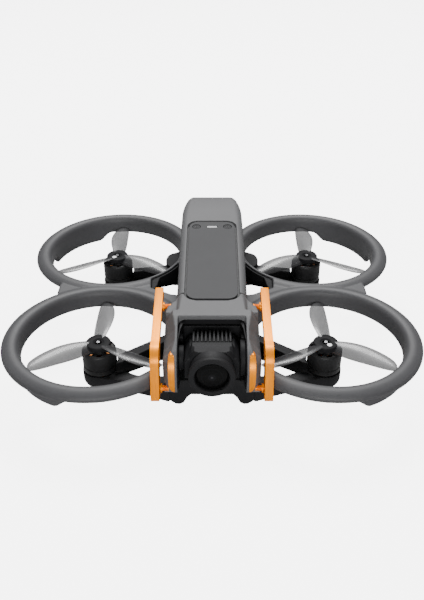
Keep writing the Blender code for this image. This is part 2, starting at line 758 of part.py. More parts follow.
def make_front_cowl():
    """Nose roof and the two cheeks that fork around the camera."""
    side = [(SEAM_Y, FRAME_TOP + GAP), (SEAM_Y, top_z(SEAM_Y)), (NOSE_Y, top_z(NOSE_Y)),
            (-64.0, 51.6), (-70.0, 49.6), (-76.0, 47.0), (-80.0, 43.6), (-82.0, 39.0),
            (-82.2, 33.0), (-81.6, 28.6), (-79.6, 25.4), (-75.0, 21.6), (-70.0, 19.0), (-66.0, 17.5),
            (-46.0, 17.5), (-46.0, FRAME_TOP + GAP)]
    cowl = outline_solid(
        "front_cowl", [side], -CHEEK_OUT - 2, CHEEK_OUT + 2, "X", LOOKS["shell_grey"]
    )
    half_plan = [(17.8, SEAM_Y), (18.0, -41.5), (20.6, -43.6), (21.9, -46.5), (22.8, -52.0),
                 (CHEEK_OUT, -60.0), (CHEEK_OUT, -76.0), (21.6, -82.5)]
    plan = half_plan + [(-x, y) for x, y in reversed(half_plan)]
    keep(cowl, outline_solid("cowl_plan", [plan], 0, 80, "Z"))
    for label, s in SIDES.items():
        shoulder = [(14.4, 80.0), (14.4, 55.6), (16.4, 54.4), (18.0, 53.2), (30.0, 52.2),
                    (30.0, 80.0)]
        cut(cowl, outline_solid(
            "cowl_shoulder_" + label, [mirror_x(shoulder, s)], -52.0, SEAM_Y + 5, "Y"
        ))
        taper = [(19.4, 80.0), (19.4, 54.0), (23.8, 47.4), (30.0, 47.0), (30.0, 80.0)]
        cut(cowl, outline_solid(
            "cowl_taper_" + label, [mirror_x(taper, s)], -90.0, -51.9, "Y"
        ))
        foot = [(24.0, 42.0), (22.8, 39.0), (21.9, 31.0), (19.6, 27.2), (17.0, 25.6), (17.0, 10.0),
                (30.0, 10.0), (30.0, 42.0)]
        cut(cowl, outline_solid(
            "cowl_foot_" + label, [mirror_x(foot, s)], -90.0, -76.5, "Y"
        ))
    roof_under = top_z(NOSE_Y) - 2.6
    cavity = outline_solid(
        "camera_cavity",
        [[(-CHEEK_IN, 0.0), (CHEEK_IN, 0.0), (CHEEK_IN, roof_under - 3.0),
          (CHEEK_IN - 3.0, roof_under), (3.0 - CHEEK_IN, roof_under),
          (-CHEEK_IN, roof_under - 3.0)]],
        -100,
        -51.4,
        "Y",
    )
    ahead = box("ahead_of_nose", (-CHEEK_IN, -100, 0), (CHEEK_IN, NOSE_Y, 80))
    inside = box("cowl_inside", (-15.6, -48.9, 0), (15.6, SEAM_Y + 5, roof_under))
    recess = top_slab("plate_recess_cowl", PLATE_GROOVE, -RECESS_DEPTH, 4)
    cut(cowl, cavity, ahead, inside, recess)
    for label, s in SIDES.items():
        duct = cylinder(
            "duct_scoop_" + label, THROAT_R + 0.5, 0, CREST, (s * ROTOR_X, -ROTOR_Y, 0),
            steps=48,
        )
        cut(cowl, duct)
        cut(cowl, insert_blank("insert_pocket_" + label, s, 0.0, INSERT_DEPTH + GAP))
        for level, (y, z) in POSTS.items():
            start, end = sorted((s * 20.0, s * 30.0))
            cut(cowl, cylinder(f"post_hole_{level}_{label}", 1.8, start, end, (0, y, z), "X"))
    return cowl


def insert_blank(name, s, shrink, depth, look=None):
    """Long rounded strip, pointed at its foot, reaching back from the cheek's curved front edge.

    shrink draws its outline in and depth is how far it reaches behind the cheek's face.
    """
    points = [(17.15, 44.0), (17.75, 46.2), (18.95, 46.8), (20.15, 46.0), (20.55, 44.0),
              (20.45, 32.5), (19.45, 28.6), (17.85, 26.8), (17.15, 29.0)]
    middle = (18.85, 35.0)
    pulled = [
        (x + (shrink if x < middle[0] else -shrink), z + (shrink if z < middle[1] else -shrink))
        for x, z in points
    ]
    blank = outline_solid(name, [mirror_x(pulled, s)], -90, -66, "Y", look)
    behind = [(y + depth, z) for y, z in CHEEK_FACE] + [(-50.0, 60.0), (-50.0, 10.0)]
    return cut(blank, outline_solid(name + "_back", [behind], -40, 40, "X"))


def make_cheek_inserts():
    for label, s in SIDES.items():
        insert = insert_blank(
            "cheek_insert_" + label, s, GAP, INSERT_DEPTH, LOOKS["orange"]
        )
        ahead = CHEEK_FACE + [(-95.0, 60.0), (-95.0, 10.0)]
        cut(insert, outline_solid("insert_front_" + label, [ahead], -40, 40, "X"))


def make_bumpers():
    """Bent flat bars ahead of the cheeks, filled behind the knee, and the posts that hold them."""
    outline = [(-32.6, 55.0), (-72.0, 50.4)]
    outline += arc((-74.4, 42.0), 8.4, 98.0, 160.0, 5)
    outline += [(-87.0, 26.2), (-77.4, 24.1), (-75.6, 33.6), (-73.4, 40.4), (-68.0, 45.0),
                (-60.0, 47.2), (-33.2, 50.0)]
    for label, s in SIDES.items():
        start, end = sorted((s * BAR_IN, s * BAR_OUT))
        bumper = outline_solid("bumper_" + label, [outline], start, end, "X", LOOKS["orange"])
        for level, (y, z) in POSTS.items():
            hole = cylinder(
                f"bumper_hole_{level}_{label}", 1.8, *sorted((s * 20, s * 40)), (0, y, z), "X"
            )
            cut(bumper, hole)
            profile = [(0, BAR_OUT - 0.2), (1.5, BAR_OUT - 0.2), (1.5, BAR_IN - GAP),
                       (2.3, BAR_IN - GAP), (2.3, CHEEK_OUT + GAP), (1.5, CHEEK_OUT + GAP),
                       (1.5, 20.4), (0, 20.4)]
            post = turned(
                f"bumper_post_{label}_{level}", profile, (0, 0, 0), "X", LOOKS["orange"], 16
            )
            if s < 0:
                post.data.transform(Matrix.Rotation(math.pi, 4, "Z"))
            post.data.transform(Matrix.Translation(Vector((0, y, z)) * MM))


# ---------------------------------------------------------------- camera
def make_camera():
    """Tilting camera: housing, finned back, lens barrel and front glass, about its tilt axis."""
    centre = (0, TILT_Y, TILT_Z)
    pivot = bpy.data.objects.new("camera_tilt_axis", None)
    pivot.location = Vector(centre) * MM
    CUTTERS.objects.link(pivot)

    side = [(CAM_FRONT, CAM_LOW + 1.5), (CAM_FRONT, CAM_TOP - 2.0), (CAM_FRONT + 2.5, CAM_TOP),
            (-66.2, CAM_TOP), (-66.2, CAM_TOP - 3.4), (CAM_REAR, CAM_TOP - 3.4),
            (CAM_REAR, CAM_LOW + 3.0), (CAM_REAR - 3.0, CAM_LOW), (CAM_FRONT + 1.5, CAM_LOW)]
    housing = outline_solid(
        "camera_housing", [side], -CAM_HALF_W, CAM_HALF_W, "X", LOOKS["camera_black"]
    )
    for label, s in SIDES.items():
        bevel = [(9.6, CAM_TOP + 1), (9.6, CAM_TOP), (CAM_HALF_W + 0.1, CAM_TOP - 5.0),
                 (CAM_HALF_W + 4, CAM_TOP - 5.0), (CAM_HALF_W + 4, CAM_TOP + 1)]
        cut(housing, outline_solid(
            "housing_corner_" + label, [mirror_x(bevel, s)], -90, -40, "Y"
        ))
    fins = camera_fins()
    barrel = turned(
        "lens_barrel",
        [(GLASS_R + 0.3, 16.0), (8.8, 16.0), (LENS_R, 14.2), (LENS_R, 11.4), (9.6, 8.3),
         (4.0, 8.3), (4.0, 12.8), (GLASS_R + 0.3, 12.8)],
        (0, 0, 0), look=LOOKS["camera_black"], steps=32, closed=True,
    )
    glass = turned(
        "lens_glass",
        [(0, 15.4), (4.2, 15.1), (GLASS_R, 14.1), (GLASS_R, 13.1), (0, 13.1)],
        (0, 0, 0), look=LOOKS["lens_glass"], steps=32,
    )
    forward = Matrix.Rotation(math.pi / 2, 4, "X")
    for obj in (barrel, glass):
        obj.data.transform(Matrix.Translation(Vector(centre) * MM) @ forward)
    bpy.context.view_layer.update()
    for obj in (housing, fins, barrel, glass):
        obj.parent = pivot
        obj.matrix_parent_inverse = pivot.matrix_world.inverted()


def camera_fins():
    """Comb of upright fins over the camera's rear shoulder."""
    fins = box(
        "camera_heat_sink", (-9.2, -66.0, CAM_TOP - 3.1), (9.2, CAM_REAR - 0.4, CAM_TOP),
        LOOKS["camera_black"],
    )
    pitch = 1.95
    for index in range(9):
        x = (index - 4) * pitch
        slot = box(f"fin_slot_{index}", (x - 0.5, -65.2, CAM_TOP - 2.0), (x + 0.5, -50, 60))
        cut(fins, slot)
    return fins


def make_gimbal():
    """Yoke behind the camera, with the tilt motor on one cheek and a bearing pin on the other."""
    outline = [(-15.9, -51.8), (15.9, -51.8), (15.9, -66.0), (14.0, -66.0), (14.0, -53.8),
               (-14.0, -53.8), (-14.0, -66.0), (-15.9, -66.0)]
    yoke = outline_solid("gimbal_yoke", [outline], 32.0, 45.6, "Z", LOOKS["camera_black"])
    cut(yoke, cylinder("yoke_disc_room", 9.0, -20, 20, (0, TILT_Y, TILT_Z), "X"))
    for name, s, radius in (("gimbal_motor", 1, 8.6), ("gimbal_pivot", -1, 6.0)):
        cylinder(
            name, radius, *sorted((s * (CAM_HALF_W + 0.4), s * (CHEEK_IN - GAP))),
            (0, TILT_Y, TILT_Z), "X", LOOKS["sensor_black"],
        )


# ---------------------------------------------------------------- battery and rear
def tail_section(y, top, half_w, low):
    """Cross-section of the battery's tail, matching the shell's shoulders where they meet."""
    half = [(half_w - 6.0, top), (half_w - 3.0, top - 1.4), (half_w - 0.9, top - 5.8),
            (half_w, top - 14.4), (half_w, low + 2.4), (half_w - 2.0, low)]
    return [(x, y, z) for x, z in half] + [(-x, y, z) for x, z in reversed(half)]


def make_battery():
    """Cartridge that slides in from the rear, with its sloping tail and two side latches."""
    case = box(
        "battery_case",
        (-BATT_HALF_W, BAY_FRONT + 0.6, BATT_LOW),
        (BATT_HALF_W, TAIL_FRONT - GAP, BATT_HIGH),
        LOOKS["battery_grey"],
    )
    bevel = case.modifiers.new("Edges", "BEVEL")
    bevel.width = 1.4 * MM
    bevel.segments = 1
    sections = [
        tail_section(SHELL_REAR + GAP, 60.9, 16.8, 26.6),
        tail_section(66.0, 56.8, 16.8, 26.6),
        tail_section(76.0, 50.6, 15.8, 27.4),
        tail_section(TAIL_REAR, 46.0, 13.0, 30.0),
    ]
    tail = loft("battery_tail", sections, LOOKS["shell_grey"])
    above_case = box("tail_over_case", (-BATT_HALF_W - 0.4, 50, 0),
                     (BATT_HALF_W + 0.4, TAIL_FRONT, BATT_HIGH + GAP))
    above_frame = box("tail_over_frame", (-40, 50, 0), (40, TAIL_FRONT, FRAME_TOP + 0.6))
    cut(tail, above_case, above_frame)
    for label, s in SIDES.items():
        start, end = sorted((s * 13.0, s * 20.0))
        cut(tail, box("latch_pocket_" + label, (start, 63.0, 36.0), (end, 73.0, 44.0)))
        start, end = sorted((s * 14.6, s * 16.4))
        box("battery_latch_" + label, (start, 63.3, 36.3), (end, 72.7, 43.7), LOOKS["frame_black"])


def make_rear_details():
    """Charging port in the frame's left side and the rear-facing window under the battery."""
    port = rounded_rectangle((30.0, 31.4), (39.4, 35.0), 1.7, 3)
    hole = outline_solid("port_hole", [port], 15.0, 25.0, "X")
    cut(bpy.data.objects["lower_frame"], hole)
    shrunk = rounded_rectangle((30.3, 31.7), (39.1, 34.7), 1.4, 3)
    outline_solid("usb_port", [shrunk], 15.8, 17.9, "X", LOOKS["plain_aluminium"])


MATERIALS = {
    "guard_grey": ((0.105, 0.105, 0.11), 0.62, 0.0),
    "shell_grey": ((0.165, 0.165, 0.17), 0.55, 0.0),
    "plate_grey": ((0.085, 0.085, 0.09), 0.5, 0.0),
    "frame_black": ((0.012, 0.012, 0.013), 0.5, 0.0),
    "belly_black": ((0.015, 0.015, 0.016), 0.55, 0.0),
    "motor_black": ((0.012, 0.012, 0.013), 0.35, 0.6),
    "camera_black": ((0.01, 0.01, 0.011), 0.4, 0.0),
    "sensor_black": ((0.02, 0.02, 0.02), 0.45, 0.0),
    "lens_glass": ((0.01, 0.012, 0.02), 0.05, 0.0),
    "light_clear": ((0.8, 0.8, 0.8), 0.25, 0.0),
    "stator_copper": ((0.55, 0.22, 0.1), 0.4, 0.9),
    "prop_smoke": ((0.03, 0.03, 0.032), 0.3, 0.0),
    "orange": ((0.9, 0.27, 0.03), 0.35, 0.5),
    "board_green": ((0.01, 0.09, 0.04), 0.5, 0.0),
    "plain_aluminium": ((0.6, 0.6, 0.62), 0.35, 1.0),
    "battery_grey": ((0.05, 0.05, 0.055), 0.6, 0.0),
}

clear_scene()
PARTS = new_collection("ducted_camera_drone")
CUTTERS = new_collection("cutters")
LOOKS = {name: material(name, *values) for name, values in MATERIALS.items()}

for side_label in SIDES:
    make_guard(side_label)
    make_bracket(side_label)
    make_front_arm(side_label)
    make_rear_arm(side_label)
make_rotors()
make_lower_frame()
make_belly_cover()
make_belly_sensors()
make_boards()
make_top_shell()
make_top_plate()
make_top_marks()
make_front_cowl()
make_cheek_inserts()
make_bumpers()
make_camera()
make_gimbal()
make_battery()
make_rear_details()
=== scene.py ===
"""Looks of the ducted camera drone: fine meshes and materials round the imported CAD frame.

Shapes are written in millimetres and each mesh is scaled to metres once. "left" is the drone's
own left side, at +X, and its nose points along -Y.
"""
import math

import bmesh
import bpy
from mathutils import Matrix, Vector


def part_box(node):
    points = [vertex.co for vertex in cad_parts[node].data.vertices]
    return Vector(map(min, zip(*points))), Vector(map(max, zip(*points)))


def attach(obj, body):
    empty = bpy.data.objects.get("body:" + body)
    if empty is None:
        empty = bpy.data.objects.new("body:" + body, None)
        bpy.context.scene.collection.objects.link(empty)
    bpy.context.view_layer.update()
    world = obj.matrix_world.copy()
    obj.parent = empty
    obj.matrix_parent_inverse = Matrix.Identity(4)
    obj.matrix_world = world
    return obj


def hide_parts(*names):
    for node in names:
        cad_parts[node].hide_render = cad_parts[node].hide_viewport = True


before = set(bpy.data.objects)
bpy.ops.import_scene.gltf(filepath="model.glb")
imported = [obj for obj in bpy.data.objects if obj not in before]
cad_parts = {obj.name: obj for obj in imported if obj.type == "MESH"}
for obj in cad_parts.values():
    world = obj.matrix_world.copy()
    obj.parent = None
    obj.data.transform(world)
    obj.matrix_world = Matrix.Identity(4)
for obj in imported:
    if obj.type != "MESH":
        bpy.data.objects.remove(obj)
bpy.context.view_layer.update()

MM = 0.001
SIDES = {"left": 1, "right": -1}
CORNERS = {"front_left": (1, -1), "front_right": (-1, -1), "rear_left": (1, 1), "rear_right": (-1, 1)}


def span(node):
    """Lowest and highest corner of a CAD node, in millimetres."""
    low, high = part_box(node)
    return low / MM, high / MM


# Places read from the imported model, and sizes that several pieces share
BELL_LOW, BELL_HIGH = span("motor_bell_front_left")
ROTOR_X = (BELL_LOW.x + BELL_HIGH.x) / 2
ROTOR_Y = -(BELL_LOW.y + BELL_HIGH.y) / 2
BELL_R = (BELL_HIGH.x - BELL_LOW.x) / 2
BELL_TOP = BELL_HIGH.z
CREST = span("guard_left")[1].z
SEAM_Y = span("front_cowl")[1].y
SHELL_LOW = span("top_shell")[0].z
TOP_SLOPE = math.atan2(5.4, 74.0)
TOP_AT_SEAM = 55.5
FRAME_HALF_W = 18.2
THROAT_R = 39.5
PLATE_FRONT, PLATE_REAR, PLATE_HALF_W = -43.5, 28.6, 12.8
PLATE_CORNER_R, PLATE_GROOVE = 5.0, 1.2
BUTTON_X, BUTTON_Y = 8.8, 23.5
BAR_IN, BAR_OUT = span("bumper_left")[0].x, span("bumper_left")[1].x
CHEEK_IN = 16.3
CHEEK_OUT = span("front_cowl")[1].x
CAP_LOW, CAP_HIGH = span("lens_glass")
TILT = Vector((0.0, -68.0, (CAP_LOW.z + CAP_HIGH.z) / 2))
GLASS_R = (CAP_HIGH.x - CAP_LOW.x) / 2


def top_z(y):
    """Height of the sloping top surface at a station along the body."""
    return TOP_AT_SEAM + (y - SEAM_Y) * math.tan(TOP_SLOPE)


# ---- mesh helpers
def new_object(name, data):
    obj = bpy.data.objects.new(name, data)
    bpy.context.scene.collection.objects.link(obj)
    return obj


def from_bmesh(bm, name):
    mesh = bpy.data.meshes.new(name)
    bm.to_mesh(mesh)
    bm.free()
    return new_object(name, mesh)


def closed(bm, name):
    """Turn a bmesh in millimetres into an object in metres."""
    bmesh.ops.remove_doubles(bm, verts=bm.verts, dist=0.0005)
    bmesh.ops.recalc_face_normals(bm, faces=bm.faces)
    obj = from_bmesh(bm, name)
    obj.data.transform(Matrix.Scale(MM, 4))
    return obj


def skin(name, rows, loop=True, ring=False):
    """Quads between rows of points; loop closes each row and ring joins the last row to the first."""
    bm = bmesh.new()
    grid = [[bm.verts.new(point) for point in row] for row in rows]
    count = len(grid[0])
    pairs = list(zip(grid, grid[1:]))
    if ring:
        pairs.append((grid[-1], grid[0]))
    for near, far in pairs:
        for i in range(count if loop else count - 1):
            j = (i + 1) % count
            bm.faces.new((near[i], near[j], far[j], far[i]))
    if loop and not ring:
        bm.faces.new(grid[0])
        bm.faces.new(grid[-1])
    return closed(bm, name)


def revolve(name, profile, steps=96, loop=False, centre=(0, 0, 0)):
    """Turn (radius, height) points about Z; an open profile starts and ends on the axis."""
    rows = []
    for i in range(steps):
        c, s = math.cos(2 * math.pi * i / steps), math.sin(2 * math.pi * i / steps)
        rows.append([(centre[0] + r * c, centre[1] + r * s, centre[2] + z) for r, z in profile])
    return skin(name, rows, loop=loop, ring=True)


def settle(obj):
    """Replace an object's mesh by what its modifiers give."""
    bpy.context.view_layer.update()
    graph = bpy.context.evaluated_depsgraph_get()
    made = bpy.data.meshes.new_from_object(obj.evaluated_get(graph), depsgraph=graph)
    obj.modifiers.clear()
    obj.data = made
    return obj


STAND = {
    "Z": Matrix.Identity(4),
    "X": Matrix(((0, 0, 1, 0), (1, 0, 0, 0), (0, 1, 0, 0), (0, 0, 0, 1))),
    "Y": Matrix(((1, 0, 0, 0), (0, 0, 1, 0), (0, 1, 0, 0), (0, 0, 0, 1))),
}


def prism(name, outline, low, high, axis):
    """Thicken an outline of (x, y) for axis Z, (y, z) for axis X or (x, z) for axis Y."""
    bm = bmesh.new()
    rows = [[bm.verts.new((a, b, h)) for a, b in outline] for h in (low, high)]
    count = len(outline)
    for i in range(count):
        j = (i + 1) % count
        bm.faces.new((rows[0][i], rows[0][j], rows[1][j], rows[1][i]))
    caps = [bm.faces.new(rows[0]), bm.faces.new(rows[1])]
    bmesh.ops.transform(bm, matrix=STAND[axis], verts=bm.verts)
    bmesh.ops.triangulate(bm, faces=caps)
    return closed(bm, name)


def block(name, low, high):
    outline = [(low[0], low[1]), (high[0], low[1]), (high[0], high[1]), (low[0], high[1])]
    return prism(name, outline, low[2], high[2], "Z")


AXIS_TURN = {
    "Z": Matrix.Identity(4),
    "X": Matrix.Rotation(math.pi / 2, 4, "Y"),
    "Y": Matrix.Rotation(math.pi / 2, 4, "X"),
}


def stand(obj, axis, centre):
    """Turn a round piece from Z to another axis and put it in place."""
    obj.data.transform(Matrix.Translation(Vector(centre) * MM) @ AXIS_TURN[axis])
    return obj


def rod(name, radius, low, high, centre=(0, 0, 0), axis="Z", steps=64):
    made = revolve(name, [(0, low), (radius, low), (radius, high), (0, high)], steps)
    return stand(made, axis, centre)


def arc(centre, radius, start, end, steps):
    points = []
    for i in range(steps + 1):
        a = math.radians(start + (end - start) * i / steps)
        points.append((centre[0] + radius * math.cos(a), centre[1] + radius * math.sin(a)))
    return points


def rounded(low, high, radius, steps=10):
    corners = [
        ((high[0] - radius, high[1] - radius), 0),
        ((low[0] + radius, high[1] - radius), 90),
        ((low[0] + radius, low[1] + radius), 180),
        ((high[0] - radius, low[1] + radius), 270),
    ]
    points = []
    for centre, start in corners:
        points += arc(centre, radius, start, start + 90, steps)
    return points


def flow(points, per=6, loop=True):
    """Smooth curve through points (Catmull-Rom)."""
    count = len(points)
    made = []
    for i in range(count if loop else count - 1):
        around = []
        for k in (-1, 0, 1, 2):
            j = (i + k) % count if loop else min(max(i + k, 0), count - 1)
            around.append(Vector(points[j]))
        a, b, c, d = around
        for step in range(per):
            t = step / per
            made.append(tuple(0.5 * (
                2 * b + (c - a) * t + (2 * a - 5 * b + 4 * c - d) * t * t
                + (3 * b - a - 3 * c + d) * t ** 3
            )))
    if not loop:
        made.append(tuple(points[-1]))
    return made


def fillet(points, radius, steps=5):
    """Round every corner of a closed outline by up to a radius."""
    made = []
    count = len(points)
    for i in range(count):
        before, here, after = (Vector(points[(i + k) % count]) for k in (-1, 0, 1))
        u, v = before - here, after - here
        reach = min(radius, u.length * 0.45, v.length * 0.45)
        a, b = here + u.normalized() * reach, here + v.normalized() * reach
        for step in range(steps + 1):
            t = step / steps
            made.append(tuple(a * (1 - t) ** 2 + here * 2 * t * (1 - t) + b * t * t))
    return made


def combine(target, tools, operation):
    for tool in tools:
        modifier = target.modifiers.new(tool.name, "BOOLEAN")
        modifier.operation = operation
        modifier.solver = "EXACT"
        modifier.object = tool
    settle(target)
    for tool in tools:
        bpy.data.objects.remove(tool)
    return target


def cut(target, *tools):
    return combine(target, tools, "DIFFERENCE")


def keep(target, *tools):
    return combine(target, tools, "INTERSECT")


def gather(name, parts):
    """Put the meshes of several objects into one object, without welding them."""
    bm = bmesh.new()
    for part in parts:
        bm.from_mesh(part.data)
        bpy.data.objects.remove(part)
    return from_bmesh(bm, name)


def melt(name, parts, voxel, rounds):
    """One skin round overlapping solids, with its edges and inner corners rounded off."""
    obj = gather(name, parts)
    remesh = obj.modifiers.new("Skin", "REMESH")
    remesh.mode = "VOXEL"
    remesh.voxel_size = voxel * MM
    settle(obj)
    relax = obj.modifiers.new("Relax", "SMOOTH")
    relax.iterations = rounds
    relax.factor = 0.5
    return settle(obj)


def round_edges(obj, width, segments, angle):
    modifier = obj.modifiers.new("Edges", "BEVEL")
    modifier.width = width * MM
    modifier.segments = segments
    modifier.limit_method = "ANGLE"
    modifier.angle_limit = math.radians(angle)
    modifier.use_clamp_overlap = True
    modifier.harden_normals = False


def bevel(obj, width, segments=3, angle=30.0):
    round_edges(obj, width, segments, angle)
    return settle(obj)


def flat_faces(obj):
    """Merge coplanar triangles, so that an edge round has room."""
    bm = bmesh.new()
    bm.from_mesh(obj.data)
    bmesh.ops.remove_doubles(bm, verts=bm.verts, dist=0.000002)
    bmesh.ops.dissolve_limit(
        bm, angle_limit=math.radians(0.6), verts=bm.verts, edges=bm.edges
    )
    bm.to_mesh(obj.data)
    bm.free()
    return obj


def reflect(mesh):
    """Turn a mesh on the left into its mirror image on the right."""
    mesh.transform(Matrix.Scale(-1, 4, (1, 0, 0)))
    mesh.flip_normals()
    return mesh


WIDE_FACE = 20.0 * MM * MM  # a bigger polygon is drawn flat, free of its round edges' shading


def paint(obj, look):
    obj.data.materials.clear()
    obj.data.materials.append(LOOKS[look])


def wear(obj, look, body, slot, *nodes, angle=40.0):
    """Give a finished piece its material, its body, and the CAD nodes that it stands for."""
    paint(obj, look)
    obj.data.shade_smooth()
    if angle:
        obj.data.set_sharp_from_angle(angle=math.radians(angle))
    for face in obj.data.polygons:
        if face.area > WIDE_FACE and len(face.vertices) > 4:
            face.use_smooth = False
    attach(obj, body)
    if nodes:
        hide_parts(*nodes)
    return obj


def both(left, look, body, slot, angle=40.0):
    """Finish a left-hand piece and its mirror image, each for the CAD node it is named after."""
    right = new_object(left.name.replace("left", "right"), reflect(left.data.copy()))
    for obj, side in ((left, "left"), (right, "right")):
        node = obj.name.replace("fine_", "")
        wear(obj, look, body.replace("left", side), slot, node, angle=angle)


# ---- materials
def toned(colour, gain, lift=0.0):
    """A colour made darker or paler, with its alpha."""
    return (*(min(c * gain + lift, 1.0) for c in colour), 1.0)


class Recipe:
    """A material under construction."""

    def __init__(self, name, colour, roughness, metallic=0.0):
        self.material = bpy.data.materials.new(name)
        self.material.use_nodes = True
        self.tree = self.material.node_tree
        self.shader = self.tree.nodes["Principled BSDF"]
        self.give("Base Color", (*colour, 1.0))
        self.give("Roughness", roughness)
        self.give("Metallic", metallic)
        self.colour = colour
        self.place = self.tree.nodes.new("ShaderNodeTexCoord").outputs["Object"]

    def give(self, socket, value):
        self.shader.inputs[socket].default_value = value

    def add(self, kind, **inputs):
        node = self.tree.nodes.new(kind)
        for key, value in inputs.items():
            socket = node.inputs[key.replace("_", " ")]
            if isinstance(value, bpy.types.NodeSocket):
                self.tree.links.new(value, socket)
            else:
                socket.default_value = value
        return node

    def link(self, source, target):
        self.tree.links.new(source, self.shader.inputs[target])

    def stretched(self, scale):
        return self.add("ShaderNodeMapping", Vector=self.place, Scale=scale).outputs["Vector"]

    def noise(self, scale, detail=2.0, vector=None):
        node = self.add(
            "ShaderNodeTexNoise", Vector=vector or self.place, Scale=scale, Detail=detail
        )
        return node.outputs["Fac"]

    def spread(self, value, low, high, start=0.3, end=0.7):
        """Map the middle of a texture's range onto low..high."""
        node = self.add("ShaderNodeMapRange", Value=value)
        node.inputs["From Min"].default_value = start
        node.inputs["From Max"].default_value = end
        node.inputs["To Min"].default_value = low
        node.inputs["To Max"].default_value = high
        return node.outputs["Result"]

    def tint(self, factor, dark, light):
        """Colour between two shades of the base colour."""
        return self.over(factor, toned(self.colour, dark), toned(self.colour, light))

    def over(self, factor, below, above):
        """Lay one colour socket or colour over another."""
        node = self.tree.nodes.new("ShaderNodeMix")
        node.data_type = "RGBA"
        for slot, value in ((0, factor), (6, below), (7, above)):
            if isinstance(value, bpy.types.NodeSocket):
                self.tree.links.new(value, node.inputs[slot])
            else:
                node.inputs[slot].default_value = value
        return node.outputs[2]

    def shift(self, operation, vector, other=(0.0, 0.0, 0.0)):
        node = self.add("ShaderNodeVectorMath", Vector=vector)
        node.operation = operation
        node.inputs[1].default_value = other
        return node.outputs

    def bump(self, height, strength, depth):
        node = self.add("ShaderNodeBump", Height=height, Strength=strength, Distance=depth)
        self.link(node.outputs["Normal"], "Normal")


def moulded(name, colour, roughness, grain=1500.0, depth=0.00006, strength=0.35, edges=1.25,
            shine=0.4):
    """Spark-textured plastic: fine grain, slow mottling, and edges rubbed a little paler."""
    r = Recipe(name, colour, roughness)
    r.give("Specular IOR Level", shine)
    grain_value = r.noise(grain, 3.0)
    mottling = r.noise(45.0, 4.0)
    shade = r.tint(r.spread(mottling, 0.0, 1.0), 0.94, 1.06)
    speck = r.spread(grain_value, 0.0, 0.35)
    shade = r.over(speck, shade, toned(colour, 1.25, 0.001))
    if edges > 1.0:
        point = r.tree.nodes.new("ShaderNodeNewGeometry").outputs["Pointiness"]
        rubbed = r.spread(point, 0.0, 0.6, 0.52, 0.62)
        shade = r.over(rubbed, shade, toned(colour, edges, 0.003))
    r.link(shade, "Base Color")
    r.link(r.spread(grain_value, roughness - 0.05, roughness + 0.07), "Roughness")
    r.bump(grain_value, strength, depth)
    return r.material


def satin_metal(name, colour, roughness, stretch, grain=900.0, strength=0.15, metallic=1.0):
    """Metal with a fine drawn grain along one direction and a soft blasted texture."""
    r = Recipe(name, colour, roughness, metallic)
    drawn = r.noise(grain, 3.0, r.stretched(stretch))
    blasted = r.noise(2600.0, 2.0)
    slow = r.noise(70.0, 3.0)
    shade = r.tint(r.spread(drawn, 0.0, 1.0), 0.9, 1.1)
    shade = r.over(r.spread(slow, 0.0, 0.25), shade, toned(colour, 0.86))
    r.link(shade, "Base Color")
    r.link(r.spread(blasted, roughness - 0.06, roughness + 0.08), "Roughness")
    r.bump(blasted, strength, 0.00004)
    r.give("Specular IOR Level", 0.15)
    return r.material


def smoked(name, colour, roughness, alpha):
    """Thin dark translucent plastic with faint flow lines."""
    r = Recipe(name, colour, roughness)
    lines = r.noise(300.0, 3.0, r.stretched((0.4, 0.4, 1.0)))
    r.link(r.tint(r.spread(lines, 0.0, 1.0), 0.85, 1.15), "Base Color")
    r.link(r.spread(lines, roughness - 0.05, roughness + 0.05), "Roughness")
    r.give("Alpha", alpha)
    r.give("Coat Weight", 0.3)
    r.give("Coat Roughness", 0.12)
    return r.material


def rings(name, centre, axis, bands, roughness, coat):
    """Dark glass with bands of colour round an axis, each given by a (radius, colour) on the way out."""
    r = Recipe(name, bands[0][1], roughness)
    offset = r.shift("SUBTRACT", r.place, Vector(centre) * MM)[0]
    flat = r.shift("MULTIPLY", offset, [0.0 if axis == i else 1.0 for i in range(3)])[0]
    far = r.shift("LENGTH", flat)["Value"]
    reach = bands[-1][0] * MM
    band = r.add("ShaderNodeValToRGB", Fac=r.spread(far, 0.0, 1.0, 0.0, reach))
    marks = band.color_ramp.elements
    marks[0].position, marks[0].color = 0.0, (*bands[0][1], 1.0)
    marks[1].position, marks[1].color = 1.0, (*bands[-1][1], 1.0)
    for radius, shade in bands[1:-1]:
        mark = marks.new(radius * MM / reach)
        mark.color = (*shade, 1.0)
    dust = r.noise(1800.0, 2.0)
    shade = r.over(r.spread(dust, 0.0, 0.01), band.outputs["Color"], (0.3, 0.3, 0.32, 1.0))
    r.link(shade, "Base Color")
    r.link(r.spread(dust, roughness, roughness + 0.05), "Roughness")
    r.give("Coat Weight", coat)
    r.give("Coat Roughness", 0.02)
    r.give("Specular IOR Level", 0.1)
    return r.material


def circuit(name, colour):
    """Solder mask with fine lighter tracks."""
    r = Recipe(name, colour, 0.4)
    track = r.add("ShaderNodeTexBrick", Vector=r.stretched((900.0, 900.0, 900.0)), Scale=0.6)
    track.inputs["Mortar Size"].default_value = 0.03
    track.inputs["Color1"].default_value = toned(colour, 1.0)
    track.inputs["Color2"].default_value = toned(colour, 0.7)
    track.inputs["Mortar"].default_value = (0.2, 0.17, 0.06, 1.0)
    r.link(track.outputs["Color"], "Base Color")
    r.bump(track.outputs["Fac"], 0.3, 0.00005)
    return r.material


def windings(name, colour):
    """Enamelled copper wire wound round a motor's teeth."""
    r = Recipe(name, colour, 0.3, 0.9)
    wave = r.add("ShaderNodeTexWave", Vector=r.stretched((0.3, 0.3, 1.0)), Scale=900.0)
    wave.bands_direction = "Z"
    r.link(r.tint(wave.outputs["Fac"], 0.55, 1.15), "Base Color")
    r.bump(wave.outputs["Fac"], 0.6, 0.0001)
    return r.material


